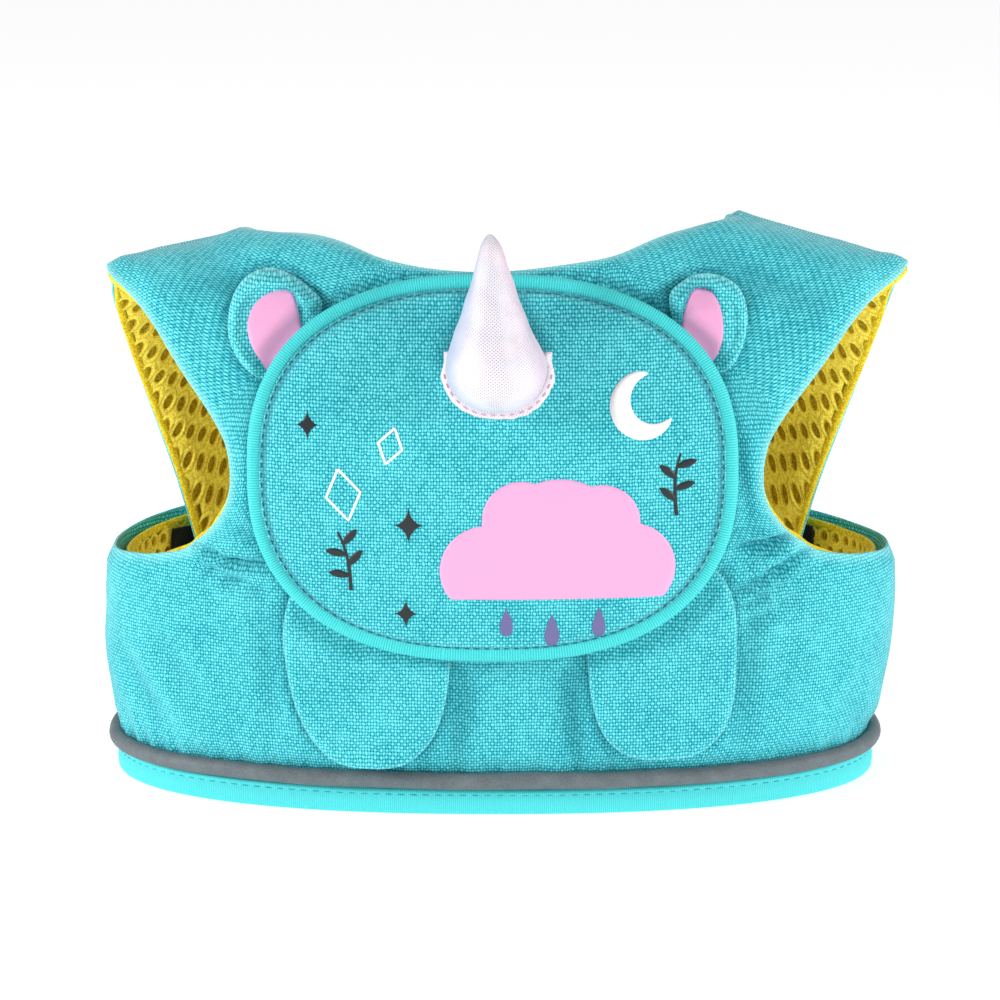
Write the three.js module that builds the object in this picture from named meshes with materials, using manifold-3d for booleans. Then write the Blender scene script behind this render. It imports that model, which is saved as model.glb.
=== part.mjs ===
// A toddler's harness vest with a pocket flap: a padded waistband, bib and shoulder straps over a mesh
// lining, a bound hem with reflective piping, and a piped flap that carries a stuffed horn, two ears and
// two legs. A webbing belt and one buckle close the back.
//
// Millimetres, +Z up. The bib faces -Y, and the origin is on the surface that the hem stands on, under
// the middle of the vest. The left side is the one at -X.

import * as THREE from 'three';
import { mergeVertices } from 'three/addons/utils/BufferGeometryUtils.js';
import Module from 'manifold-3d';

// Body, to its outer surface
const HALF_WIDTH = 130; // waistband, where it bulges most
const FRONT_DEPTH = 65; // from the middle of the depth to the bib
const BACK_DEPTH = 62; // from the middle of the depth to the back of the waistband
const BAND_HEIGHT = 74; // top edge of the waistband at the sides
const CORNER_HEIGHT = 85; // where that edge turns up into the bib
const CHEST_HALF_WIDTH = 83; // bib, between the armholes
const SPRING_HEIGHT = 100; // above it the bib and the straps lean back
const NECK_HEIGHT = 170; // lowest point of the neckline

// Shoulders
const SHOULDER_HALF_WIDTH = 141; // half width of the oval that the straps lie on
const SHOULDER_END_HEIGHT = 165; // outer end of the ridge
const NECK_HALF_WIDTH = 75; // neck end of the ridge
const NECK_CROWN = 10; // how far the ridge's line would rise from there to the middle
const LEFT_RIDGE_HEIGHT = 176.5; // ridge at its neck end
const RIGHT_RIDGE_HEIGHT = 181.5;
const LEFT_SHOULDER_REACH = 124.5; // from the middle to the outer end of the ridge
const RIGHT_SHOULDER_REACH = 130.5;
const STRAP_START_HEIGHT = 126; // where a strap begins, at the armhole
const STRAP_START_REACH = 33; // where a strap begins, at the neckline
const NECKLINE_RISE = 1.6; // how fast the neckline climbs to the straps: 1 would follow the ridge
const STRAP_FLARE = 0.75; // under 1 the straps' neck edges spread early on their way to the ridge
const STRAP_BACK_DEPTH = 50; // straps behind the ridge
const STRAP_END_HEIGHT = 44; // lower end, inside the waistband
const STRAP_TUCKED = 2; // above BAND_HEIGHT, where the straps are fully drawn in to go inside the waistband
const STRAP_BLEND = 56; // above BAND_HEIGHT, where they start to draw in

// Layers
const WALL = 5; // woven cover with its foam
const EDGE_ROLL = 1.2; // how far each face of the cover is drawn in at its edges
const LINING_WALL = 2.6;
const LINING_ROLL = 0.4;
const LINING_INSET = 1; // from the cover's edges
const LINING_DROP = 5; // from the top edge of the waistband, where the cover rolls over
const LINING_LIFT = 1.7; // how far its edges rise to meet the cover's along the armholes and the neck
const GAP = 0.3; // between pieces that touch
const LINING_GAP = 0.8;
const PIPING_GAP = 0.6;
const WEBBING_WALL = 1.5;
const STRAP_ROOM = 3; // between the webbing and the straps' lower ends

// Hem
const BINDING_HEIGHT = 8.5;
const BINDING_CHAMFER = 1.2;
const BINDING_ROLL = 1.8; // how far it stands out past the cover
const PIPING_RADIUS = 2.6;
const WING_END = 38; // half of the opening at the back

// Flap
const FLAP_CENTRE_X = -1.3;
const FLAP_CENTRE_Z = 111.5;
const FLAP_HALF_WIDTH = 75.8;
const FLAP_HALF_HEIGHT = 59;
const FLAP_STANDOFF = 2.9; // room for what is tucked behind it
const FLAP_WALL = 4;
const FLAP_DOME = 6;
const FLAP_FULLNESS = 0.6; // under 1 the dome is flat in the middle and steep near the edge
const FLAP_SQUARENESS = 2.5; // exponent of its outline: 2 is an ellipse
const FLAP_BINDING_RADIUS = 2.6;

// Horn
const HORN_BASE_Z = 132.2;
const HORN_HEIGHT = 53;
const HORN_HALF_WIDTH = 15.6;
const HORN_HALF_DEPTH = 9.5;
const HORN_BASE_X = 0.4;
const HORN_TILT = -2.4; // how far the tip lies to the right of the base
const HORN_LEAN = 7; // how far the tip lies behind the base
const HORN_SEWN = 0.3; // share of its height that is sewn to the flap
const HORN_BACK = 0.25; // how far it reaches back from its widest place there, as a share of its half depth
const HORN_GAP = 0.6;
const HORN_HEM_RADIUS = 0.9;
const HORN_HEM_SQUARENESS = 2.4;

// Ears and legs, in the plane of the photographed front
const EAR_WALL = 5.5;
const EAR_INNER_WALL = 1.2;
const EAR_INNER_GAP = 0.7;
const EAR_SQUARENESS = 2.2;
const EAR_INNER_SQUARENESS = 2;
const EAR_TUCK = 0.5; // share by which the ear is drawn in where it lies behind the flap
const LEG_WALL = 5.5;
const TUCKED_WALL = 1.9; // an ear or leg where the flap presses on it
const LEG_HALF_HEIGHT = 35;
const LEG_MIDDLE_HEIGHT = 48;
const LEG_SQUARENESS = 2.8;
const PAD_FLATNESS = 4; // exponent of the ears' and legs' faces: higher is flatter with rounder edges
const LEG_FOOT = 8; // height over which the legs' lower ends swing out in front of the piping
const LEG_HALF_WIDTH = 25.5;

// Belt
const WEBBING_WIDTH = 25;
const WEBBING_TOP = 72;
const WEBBING_REACH = 111; // where it starts, sewn to the lining, seen on the outside of the waistband
const BUCKLE = { width: 38, height: 31, depth: 7.5, corner: 5, socket: 8 };
const BUCKLE_GRIP = 0.7; // share of a socket's length that the webbing fills
const SOCKET_ROOM = 0.6; // extra thickness of a socket, for the webbing's curve
const BUCKLE_INSET = 0.15; // how far the buckle's middle lies inside the webbing's

const OVAL = 2.3; // exponent of the body's oval sections: 2 is an ellipse
const ARCH = 2.3; // the same for the straps' arch
const CORNER_ANGLE = 42.5; // degrees round the body from the middle of the bib
const BIB_COLUMNS = 7; // on each side of the middle
const NECK_COLUMNS = 3; // of those, the ones under the neckline
const WING_COLUMNS = 15;
const BAND_ROWS = 8;
const BIB_ROWS = 8;
const LINING_TURN = 0.2; // share of a wing in which the lining draws in from its top edge
const CORNER_TURN = 0.6; // share of the waistband's height above which the lining draws in at its corner
const STRAP_FRONT_ROWS = 6;
const STRAP_BACK_ROWS = 6;
const STRAP_LOW_ROWS = 4;
const HEM_STEPS = 46;
const WEBBING_STEPS = 14;
const TANGENT_ANGLE = 0.5; // degrees to each side between which the body's direction is taken
const SLOPE_STEP = 0.5; // the same in millimetres on its front

// Sides and rings of each pad's grid, and of each tube
const GRIDS = {
  flap: { sides: 32, rings: 6 },
  ear: { sides: 20, rings: 4 },
  earInner: { sides: 14, rings: 2 },
  leg: { sides: 24, rings: 6 },
  flapBinding: { sides: 8, steps: 44 },
  piping: { sides: 8 },
  horn: { sides: 16 },
  hornHem: { sides: 6, steps: 16 },
};

// Sections of the waistband: up as a share of BAND_HEIGHT, left and right as shares of HALF_WIDTH, and
// depth as a share of the depths
const BAND_SECTIONS = [
  { up: 0, left: 0.936, right: 0.93, depth: 0.935 },
  { up: 0.12, left: 0.93, right: 0.928, depth: 0.935 },
  { up: 0.2, left: 0.935, right: 0.936, depth: 0.945 },
  { up: 0.27, left: 0.95, right: 0.96, depth: 0.97 },
  { up: 0.41, left: 0.967, right: 0.982, depth: 0.985 },
  { up: 0.55, left: 0.978, right: 0.996, depth: 0.995 },
  { up: 0.7, left: 0.983, right: 1, depth: 1 },
  { up: 0.88, left: 0.976, right: 0.992, depth: 1 },
  { up: 1, left: 0.957, right: 0.972, depth: 1 },
];
const BAND_ROW_CROWDING = 1.5; // over 1 puts more of the grid's rows near the hem

// Top edge of the waistband: degrees round the body, and the rise from BAND_HEIGHT to CORNER_HEIGHT
const BAND_TOP = [
  { angle: 0, rise: 1 },
  { angle: 42.5, rise: 1 },
  { angle: 47, rise: 0.66 },
  { angle: 54.5, rise: 0.4 },
  { angle: 64, rise: 0.22 },
  { angle: 90, rise: 0 },
  { angle: 115, rise: 0.2 },
  { angle: 135, rise: 0.38 },
  { angle: 180, rise: 0.4 },
];

// Armhole edge of the bib and strap: up from CORNER_HEIGHT to SHOULDER_END_HEIGHT, and out from
// CHEST_HALF_WIDTH to the shoulder's reach
const ARMHOLE = [
  { up: 0, out: 0 },
  { up: 0.29, out: 0 },
  { up: 0.4, out: 0.03 },
  { up: 0.48, out: 0.1 },
  { up: 0.56, out: 0.2 },
  { up: 0.65, out: 0.33 },
  { up: 0.75, out: 0.47 },
  { up: 0.85, out: 0.61 },
  { up: 0.93, out: 0.76 },
  { up: 0.98, out: 0.9 },
  { up: 1, out: 1 },
];
const ARMHOLE_NARROW = 0.29; // share of its height where the bib is narrowest
const CORNER_SHARPNESS = 2.2; // how tightly the armhole turns into the waistband's top edge

// A strap behind the ridge: up as a share of the ridge's height, the edges as shares of the reach of
// the shoulder and of NECK_HALF_WIDTH
const STRAP_BACK = [
  { up: 0.25, outer: 0.79, inner: 0.78 },
  { up: 0.38, outer: 0.805, inner: 0.79 },
  { up: 0.53, outer: 0.855, inner: 0.83 },
  { up: 0.72, outer: 0.937, inner: 0.9 },
  { up: 0.9, outer: 0.985, inner: 0.97 },
  { up: 1, outer: 1, inner: 1 },
];

// Dents of the front: ends across and up as shares of HALF_WIDTH and BAND_HEIGHT, spread as a share of
// HALF_WIDTH, depth of WALL
const DENTS = [
  { x: -0.72, z: 1.08, toX: -0.52, toZ: 1.04, spread: 0.05, depth: 0.45 },
  { x: 0.78, z: 1.06, toX: 0.55, toZ: 0.98, spread: 0.06, depth: 0.6 },
  { x: 0.63, z: 0.85, toX: 0.6, toZ: 0.4, spread: 0.06, depth: 0.6 },
  { x: -0.57, z: 0.8, toX: -0.55, toZ: 0.45, spread: 0.05, depth: 0.35 },
  { x: 0.17, z: 0.7, toX: 0.2, toZ: 0.35, spread: 0.06, depth: 0.5 },
];

// Horn: up as a share of HORN_HEIGHT, width of HORN_HALF_WIDTH, depth of HORN_HALF_DEPTH
const HORN_SECTIONS = [
  { up: 0, width: 0.12, depth: 0.12 },
  { up: 0.02, width: 0.42, depth: 0.3 },
  { up: 0.06, width: 0.66, depth: 0.5 },
  { up: 0.13, width: 0.87, depth: 0.75 },
  { up: 0.23, width: 0.985, depth: 0.93 },
  { up: 0.3, width: 0.98, depth: 1 },
  { up: 0.38, width: 0.86, depth: 0.95 },
  { up: 0.49, width: 0.71, depth: 0.86 },
  { up: 0.66, width: 0.5, depth: 0.7 },
  { up: 0.8, width: 0.35, depth: 0.53 },
  { up: 0.9, width: 0.25, depth: 0.4 },
  { up: 0.96, width: 0.19, depth: 0.3 },
  { up: 1, width: 0.08, depth: 0.13 },
];

// Ears and their inner patches: place as shares of the flap's half width and half height from its
// middle, half sizes along and across the ear, and its tilt from upright in degrees
const EARS = {
  left: { x: -0.887, z: 0.695, along: 20.5, across: 13, tilt: 24 },
  right: { x: 0.875, z: 0.695, along: 20, across: 12.6, tilt: -24 },
};
const EAR_INNERS = {
  left: { x: -0.867, z: 0.661, along: 13.5, across: 8, tilt: 24 },
  right: { x: 0.835, z: 0.67, along: 13.5, across: 8, tilt: -22 },
};

// Legs: place across as a share of the flap's half width from its middle, and tilt in degrees
const LEGS = {
  left: { x: -0.517, tilt: -1 },
  right: { x: 0.697, tilt: 1 },
};

// Where the flap's top edge is sewn down: from and to heights and distances from its middle, as shares
// of its half height and half width
const FLAP_SEAM = { fromHeight: 0.7, toHeight: 1, fromReach: 0.3, toReach: 0.6 };

// The flap's edge as ears and legs pass it: shares of the flap's size behind and beyond it between
// which they rise to their full thickness
const FLAP_EDGE = { behind: 0.02, beyond: 0.16 };

// Where an ear starts to be drawn in behind the flap, and over what share of the flap's size
const EAR_TUCK_ZONE = { start: 0.06, span: 0.2 };

// An inner patch is drawn clear of the flap in steps, towards a place that lies outwards and up from
// its middle
const PATCH_CLEARANCE = { beyond: 0.012, steps: 12, step: 0.12, aim: 4 };
const PATCH_SWELL = { reach: 1.35, share: 0.5 }; // how its rear follows the swell of the ear

const power = (value, exponent) => Math.sign(value) * Math.abs(value) ** exponent;
const mix = (a, b, share) => a + (b - a) * share;
const clamp01 = (value) => Math.min(1, Math.max(0, value));

function smooth(low, high, value) {
  const t = clamp01((value - low) / (high - low));
  return t * t * (3 - 2 * t);
}

// Reads a column of a table at a value of its key column, on a smooth curve through its rows.
function lookUp(table, key, column, value) {
  const last = table.length - 1;
  if (value <= table[0][key]) return table[0][column];
  if (value >= table[last][key]) return table[last][column];
  const i = table.findIndex((row) => row[key] > value) - 1;
  const slope = (k) => {
    const a = table[Math.max(0, k - 1)];
    const b = table[Math.min(last, k + 1)];
    return (b[column] - a[column]) / (b[key] - a[key]);
  };
  const step = table[i + 1][key] - table[i][key];
  const t = (value - table[i][key]) / step;
  const rise = table[i + 1][column] - table[i][column];
  const curve = t * t * (3 - 2 * t) * rise;
  const leave = t * (1 - t) * (1 - t) * slope(i) * step;
  const arrive = t * t * (1 - t) * slope(i + 1) * step;
  return table[i][column] + curve + leave - arrive;
}

// The body's surface

const oval = (across, halfWidth) => (1 - clamp01(Math.abs(across) / halfWidth) ** OVAL) ** (1 / OVAL);

// Half width of the body at a height, on the side of x.
function halfWidthAt(z, x) {
  const band = HALF_WIDTH * lookUp(BAND_SECTIONS, 'up', x < 0 ? 'left' : 'right', z / BAND_HEIGHT);
  return mix(band, SHOULDER_HALF_WIDTH, smooth(BAND_HEIGHT, SPRING_HEIGHT, z));
}

const depthShareAt = (z) => lookUp(BAND_SECTIONS, 'up', 'depth', z / BAND_HEIGHT);

// Height of the line over the shoulders along which the straps turn from front to back.
function ridgeHeight(x) {
  const neck = mix(LEFT_RIDGE_HEIGHT, RIGHT_RIDGE_HEIGHT, smooth(-NECK_HALF_WIDTH, NECK_HALF_WIDTH, x));
  const reach = x < 0 ? LEFT_SHOULDER_REACH : RIGHT_SHOULDER_REACH;
  const across = Math.abs(x) / NECK_HALF_WIDTH;
  if (across < 1) return neck + NECK_CROWN * (1 - across * across);
  return mix(neck, SHOULDER_END_HEIGHT, (Math.abs(x) - NECK_HALF_WIDTH) / (reach - NECK_HALF_WIDTH));
}

// y of the body's front at a place seen from the front.
function frontY(x, z) {
  const climb = clamp01((z - SPRING_HEIGHT) / (ridgeHeight(x) - SPRING_HEIGHT));
  const lean = (1 - climb ** ARCH) ** (1 / ARCH);
  return -FRONT_DEPTH * depthShareAt(z) * lean * oval(x, halfWidthAt(z, x));
}

// A point of the waistband at an angle round the body: 0 is the middle of the bib, 90 the right side.
function bandPoint(angle, z) {
  const turn = THREE.MathUtils.degToRad(angle);
  const depth = (Math.cos(turn) > 0 ? FRONT_DEPTH : BACK_DEPTH) * depthShareAt(z);
  return new THREE.Vector3(
    halfWidthAt(z, angle) * power(Math.sin(turn), 2 / OVAL),
    -depth * power(Math.cos(turn), 2 / OVAL),
    z,
  );
}

// The angle at which the back of the waistband lies that far to the right of the middle.
function backAngle(x, z) {
  return 180 - THREE.MathUtils.radToDeg(Math.asin((x / halfWidthAt(z, x)) ** (OVAL / 2)));
}

function bandTop(angle) {
  return mix(BAND_HEIGHT, CORNER_HEIGHT, lookUp(BAND_TOP, 'angle', 'rise', Math.abs(angle)));
}

// Angle along the straps' arch at a height: 0 where it springs, 90 at the ridge.
function archAngle(x, z) {
  return Math.asin(clamp01((z - SPRING_HEIGHT) / (ridgeHeight(x) - SPRING_HEIGHT)) ** (ARCH / 2));
}

const archHeight = (x, angle) => mix(SPRING_HEIGHT, ridgeHeight(x), Math.sin(angle) ** (2 / ARCH));

// The armhole edge of the bib and of the front of a strap.
function armholeEdge(side, z, inset) {
  const reach = side < 0 ? LEFT_SHOULDER_REACH : RIGHT_SHOULDER_REACH;
  const up = (z - CORNER_HEIGHT) / (SHOULDER_END_HEIGHT - CORNER_HEIGHT);
  const cornerX = Math.abs(bandPoint(side * CORNER_ANGLE, CORNER_HEIGHT).x);
  const turn = clamp01(1 - up / ARMHOLE_NARROW) ** CORNER_SHARPNESS;
  const out = lookUp(ARMHOLE, 'up', 'out', clamp01(up));
  return CHEST_HALF_WIDTH - inset + (reach - CHEST_HALF_WIDTH) * out + (cornerX - CHEST_HALF_WIDTH) * turn;
}

function neckline(x, inset) {
  const ridge = mix(LEFT_RIDGE_HEIGHT, RIGHT_RIDGE_HEIGHT, smooth(-NECK_HALF_WIDTH, NECK_HALF_WIDTH, x));
  const across = x / NECK_HALF_WIDTH;
  return NECK_HEIGHT - inset + NECKLINE_RISE * (ridge - NECK_HEIGHT) * across * across;
}

// The front ends of a strap's two edges and the way they go to the ridge.
function strapEdges(side, inset) {
  const start = STRAP_START_REACH + inset / 2;
  const neckStart = archAngle(side * start, neckline(side * start, inset));
  return {
    inner(share) {
      const x = mix(start, NECK_HALF_WIDTH + inset, share ** STRAP_FLARE);
      return { x, angle: mix(neckStart, Math.PI / 2, share) };
    },
    outer(share) {
      const low = Math.asin(
        ((STRAP_START_HEIGHT - SPRING_HEIGHT) / (SHOULDER_END_HEIGHT - SPRING_HEIGHT)) ** (ARCH / 2),
      );
      const z = mix(SPRING_HEIGHT, SHOULDER_END_HEIGHT, Math.sin(mix(low, Math.PI / 2, share)) ** (2 / ARCH));
      const x = armholeEdge(side, z, inset);
      return { x, angle: share < 1 ? archAngle(side * x, z) : Math.PI / 2 };
    },
  };
}

// A point of a strap in front of the ridge: share 0 is where the strap begins, across 0 its neck edge.
function strapFrontPoint(side, across, share, inset) {
  const edges = strapEdges(side, inset);
  const inner = edges.inner(share);
  const outer = edges.outer(share);
  const x = side * mix(inner.x, outer.x, across);
  const angle = mix(inner.angle, outer.angle, across);
  const y = -FRONT_DEPTH * Math.abs(Math.cos(angle)) ** (2 / ARCH) * oval(x, SHOULDER_HALF_WIDTH);
  return new THREE.Vector3(x, y, archHeight(x, angle));
}

// A point of a strap behind the ridge. Turn goes from 90 at the ridge to 0 where the arch springs, and
// drop goes on from there to the strap's lower end, which follows the inside of the waistband.
function strapBackPoint(side, across, turn, drop, inset) {
  const reach = side < 0 ? LEFT_SHOULDER_REACH : RIGHT_SHOULDER_REACH;
  const angle = THREE.MathUtils.degToRad(turn);
  const end = STRAP_END_HEIGHT + inset;
  const springAt = (x) => (drop > 0 ? mix(SPRING_HEIGHT, end, drop) : archHeight(x, angle));
  const up = springAt(side * reach) / SHOULDER_END_HEIGHT;
  const outer = reach * lookUp(STRAP_BACK, 'up', 'outer', up) - inset;
  const inner = NECK_HALF_WIDTH * lookUp(STRAP_BACK, 'up', 'inner', up) + inset;
  const x = side * mix(inner, outer, across);
  const z = springAt(x);
  const layers = WALL + LINING_GAP + LINING_WALL + WEBBING_WALL + STRAP_ROOM;
  const tuck = 1 - smooth(BAND_HEIGHT + STRAP_TUCKED, BAND_HEIGHT + STRAP_BLEND, z);
  const depth = mix(STRAP_BACK_DEPTH, BACK_DEPTH - layers, tuck);
  const halfWidth = mix(SHOULDER_HALF_WIDTH, HALF_WIDTH - layers, tuck);
  return new THREE.Vector3(x, depth * Math.cos(angle) ** (2 / ARCH) * oval(x, halfWidth), z);
}

// Solids from grids and sections

function geometryFrom(points, triangles) {
  const geometry = new THREE.BufferGeometry();
  const positions = points.flatMap((p) => [p.x, p.y, p.z]);
  geometry.setAttribute('position', new THREE.Float32BufferAttribute(positions, 3));
  geometry.setIndex(triangles.flat());
  return geometry;
}

// A sheet with thickness: each point of a grid is moved along the grid's normal, by from for the outer
// face and by to for the inner one, and the two faces are joined along the grid's edges. Roll is how
// far each face is drawn in there, so that the edges are thinner than the rest, and lift moves both.
function thickSheet(points, quads, { from, to, roll, dentOf = () => 0, liftOf = () => 0 }) {
  const normals = points.map(() => new THREE.Vector3());
  const edges = new Map();
  for (const quad of quads) {
    const [a, b, c, d] = quad;
    const diagonal = new THREE.Vector3().subVectors(points[c], points[a]);
    const normal = diagonal.cross(new THREE.Vector3().subVectors(points[d], points[b]));
    for (const k of quad) normals[k].add(normal);
    quad.forEach((k, i) => edges.set(`${k},${quad[(i + 1) % 4]}`, [k, quad[(i + 1) % 4]]));
  }
  const openEdges = [...edges.values()].filter(([a, b]) => !edges.has(`${b},${a}`));
  const atEdge = new Set(openEdges.flat());
  const moved = (offsetAt) =>
    points.map((p, k) => p.clone().addScaledVector(normals[k].clone().normalize(), offsetAt(p, k)));
  const rollAt = (k) => (atEdge.has(k) ? roll : 0);
  const liftAt = (p, k) => (atEdge.has(k) ? liftOf(p) : 0);
  const outer = moved((p, k) => from - rollAt(k) + liftAt(p, k) - dentOf(p));
  const inner = moved((p, k) => to + rollAt(k) + liftAt(p, k));
  const n = points.length;
  const triangles = [];
  for (const [a, b, c, d] of quads) {
    triangles.push([a, b, c], [a, c, d], [c + n, b + n, a + n], [d + n, c + n, a + n]);
  }
  for (const [a, b] of openEdges) triangles.push([b, a, a + n], [b, a + n, b + n]);
  return geometryFrom([...outer, ...inner], triangles);
}

// A solid through rows of section points, closed with flat ends, or on itself where ring is true.
function loft(sections, ring = false) {
  const size = sections[0].length;
  const triangles = [];
  const joins = ring ? sections.length : sections.length - 1;
  for (let s = 0; s < joins; s++) {
    const next = ((s + 1) % sections.length) * size;
    for (let k = 0; k < size; k++) {
      const a = s * size + k;
      const b = s * size + ((k + 1) % size);
      const c = next + ((k + 1) % size);
      const d = next + k;
      triangles.push([a, b, c], [a, c, d]);
    }
  }
  if (!ring) {
    const last = (sections.length - 1) * size;
    for (let k = 1; k < size - 1; k++) {
      triangles.push([0, k + 1, k], [last, last + k, last + k + 1]);
    }
  }
  return geometryFrom(sections.flat(), triangles);
}

// A round tube along points. Each has the two directions that span its section, in its turn order.
function tube(centres, radius, sides, ring = false) {
  const sections = centres.map(({ point, u, v }) =>
    Array.from({ length: sides }, (_, k) => {
      const turn = (2 * Math.PI * k) / sides;
      const side = u.clone().multiplyScalar(Math.cos(turn) * radius);
      return point.clone().add(side).addScaledVector(v, Math.sin(turn) * radius);
    }),
  );
  return loft(sections, ring);
}

// The vest: one grid serves the cover and, drawn in at its edges, the lining. Drop is how far it is
// drawn in from the top edge of the waistband.

function vestGrid(inset, drop) {
  const points = [];
  const index = new Map();
  const add = (column, row, point) => {
    index.set(`${column},${row}`, points.length);
    points.push(point);
  };
  const wingEnd = backAngle(WING_END + inset, BAND_HEIGHT / 2);
  const lastColumn = BIB_COLUMNS + WING_COLUMNS;
  const bottom = BINDING_HEIGHT + GAP;

  for (let column = -lastColumn; column <= lastColumn; column++) {
    const beyond = (Math.abs(column) - BIB_COLUMNS) / WING_COLUMNS;
    const inBib = Math.abs(column) <= BIB_COLUMNS;
    const angle =
      Math.sign(column) *
      (inBib ? (CORNER_ANGLE * Math.abs(column)) / BIB_COLUMNS : mix(CORNER_ANGLE, wingEnd, beyond));
    const top = bandTop(angle) - (inBib ? 0 : drop * smooth(0, LINING_TURN, beyond));
    for (let row = 0; row <= BAND_ROWS; row++) {
      const z = mix(bottom, top, (row / BAND_ROWS) ** BAND_ROW_CROWDING);
      const point = bandPoint(angle, z);
      const drawnIn = inset * smooth(CORNER_TURN, 1, row / BAND_ROWS);
      if (Math.abs(column) === BIB_COLUMNS) point.x -= Math.sign(column) * drawnIn;
      add(column, row, point);
    }
  }

  for (let column = -BIB_COLUMNS; column <= BIB_COLUMNS; column++) {
    const side = column < 0 ? -1 : 1;
    const place = Math.abs(column) / BIB_COLUMNS;
    const across = (Math.abs(column) - NECK_COLUMNS) / (BIB_COLUMNS - NECK_COLUMNS);
    const foot = index.get(`${column},${BAND_ROWS}`);
    const neckX = (STRAP_START_REACH + inset / 2) * (Math.abs(column) / NECK_COLUMNS);
    const top =
      across >= 0
        ? strapFrontPoint(side, across, 0, inset)
        : new THREE.Vector3(side * neckX, 0, neckline(side * neckX, inset));
    const topEdge = strapFrontPoint(side, 1, 0, inset);
    const footX = points[foot].x;
    const edgeFoot = Math.abs(points[index.get(`${side * BIB_COLUMNS},${BAND_ROWS}`)].x);
    for (let row = 1; row <= BIB_ROWS; row++) {
      const share = row / BIB_ROWS;
      const z = mix(points[foot].z, top.z, share);
      const edge = armholeEdge(side, mix(CORNER_HEIGHT, STRAP_START_HEIGHT, share), inset);
      const narrowing = edge / mix(edgeFoot, Math.abs(topEdge.x), share);
      const x = mix(footX, top.x, share) * mix(1, narrowing, place);
      const atTop = row === BIB_ROWS && across >= 0;
      add(column, BAND_ROWS + row, atTop ? top : new THREE.Vector3(x, frontY(x, z), z));
    }
    if (across < 0) continue;
    let row = BAND_ROWS + BIB_ROWS;
    for (let k = 1; k <= STRAP_FRONT_ROWS; k++) {
      row += 1;
      add(column, row, strapFrontPoint(side, across, k / STRAP_FRONT_ROWS, inset));
    }
    for (let k = 1; k <= STRAP_BACK_ROWS; k++) {
      row += 1;
      add(column, row, strapBackPoint(side, across, 90 * (1 - k / STRAP_BACK_ROWS), 0, inset));
    }
    for (let k = 1; k <= STRAP_LOW_ROWS; k++) {
      row += 1;
      add(column, row, strapBackPoint(side, across, 0, k / STRAP_LOW_ROWS, inset));
    }
  }

  const quads = [];
  for (const key of index.keys()) {
    const [column, row] = key.split(',').map(Number);
    const corners = [
      [column, row],
      [column + 1, row],
      [column + 1, row + 1],
      [column, row + 1],
    ].map(([c, r]) => index.get(`${c},${r}`));
    if (corners.every((k) => k !== undefined)) quads.push(corners);
  }
  return { points, quads };
}

// How far the front is dented at a point of the cover.
function dentAt(point) {
  if (point.y > 0) return 0;
  return DENTS.reduce((sum, fold) => {
    const a = new THREE.Vector2(fold.x * HALF_WIDTH, fold.z * BAND_HEIGHT);
    const b = new THREE.Vector2(fold.toX * HALF_WIDTH, fold.toZ * BAND_HEIGHT);
    const along = b.clone().sub(a);
    const p = new THREE.Vector2(point.x, point.z);
    const share = clamp01(p.clone().sub(a).dot(along) / along.lengthSq());
    const away = p.distanceTo(a.addScaledVector(along, share)) / (fold.spread * HALF_WIDTH);
    return sum + WALL * fold.depth * Math.exp(-away * away);
  }, 0);
}

function cover() {
  const { points, quads } = vestGrid(0, 0);
  return thickSheet(points, quads, { from: 0, to: -WALL, roll: EDGE_ROLL, dentOf: dentAt });
}

function lining() {
  const { points, quads } = vestGrid(LINING_INSET, LINING_DROP);
  const from = -WALL - LINING_GAP;
  const liftOf = (point) => (point.z > CORNER_HEIGHT ? LINING_LIFT : 0);
  return thickSheet(points, quads, { from, to: from - LINING_WALL, roll: LINING_ROLL, liftOf });
}

// What goes round the waistband

// Points round the body at a height, each with the direction out of the body there.
function roundBody(zAt, fromAngle, toAngle, count) {
  return Array.from({ length: count + 1 }, (_, k) => {
    const angle = mix(fromAngle, toAngle, k / count);
    const z = zAt(angle);
    const next = bandPoint(angle + TANGENT_ANGLE, z);
    const along = next.sub(bandPoint(angle - TANGENT_ANGLE, z)).normalize();
    const out = new THREE.Vector3(along.y, -along.x, 0);
    return { point: bandPoint(angle, z), out, angle };
  });
}

// A strip round the body between two heights, from one depth under the surface to another.
function strip(fromAngle, toAngle, count, profile) {
  const stations = roundBody(() => 0, fromAngle, toAngle, count);
  return loft(
    stations.map(({ angle }) =>
      profile.map(({ depth, z }) => {
        const [station] = roundBody(() => z, angle, angle, 1);
        return station.point.addScaledVector(station.out, -depth);
      }),
    ),
  );
}

function hemBinding() {
  const end = backAngle(WING_END, 0);
  const inner = WALL + LINING_GAP + LINING_WALL;
  const c = BINDING_CHAMFER;
  const profile = [
    { depth: inner - c, z: 0 },
    { depth: inner, z: c },
    { depth: inner, z: BINDING_HEIGHT - c },
    { depth: inner - c, z: BINDING_HEIGHT },
    { depth: c - BINDING_ROLL, z: BINDING_HEIGHT },
    { depth: -BINDING_ROLL, z: BINDING_HEIGHT - c },
    { depth: -BINDING_ROLL, z: c },
    { depth: c - BINDING_ROLL, z: 0 },
  ];
  return strip(-end, end, HEM_STEPS, profile);
}

function reflectivePiping() {
  const z = BINDING_HEIGHT + GAP + PIPING_RADIUS;
  const end = backAngle(WING_END, z);
  const centres = roundBody(() => z, -end, end, HEM_STEPS).map(({ point, out }) => ({
    point: point.addScaledVector(out, PIPING_RADIUS + PIPING_GAP),
    u: new THREE.Vector3(0, 0, 1),
    v: out,
  }));
  return tube(centres, PIPING_RADIUS, GRIDS.piping.sides);
}

// Pads that lie on the front

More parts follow.
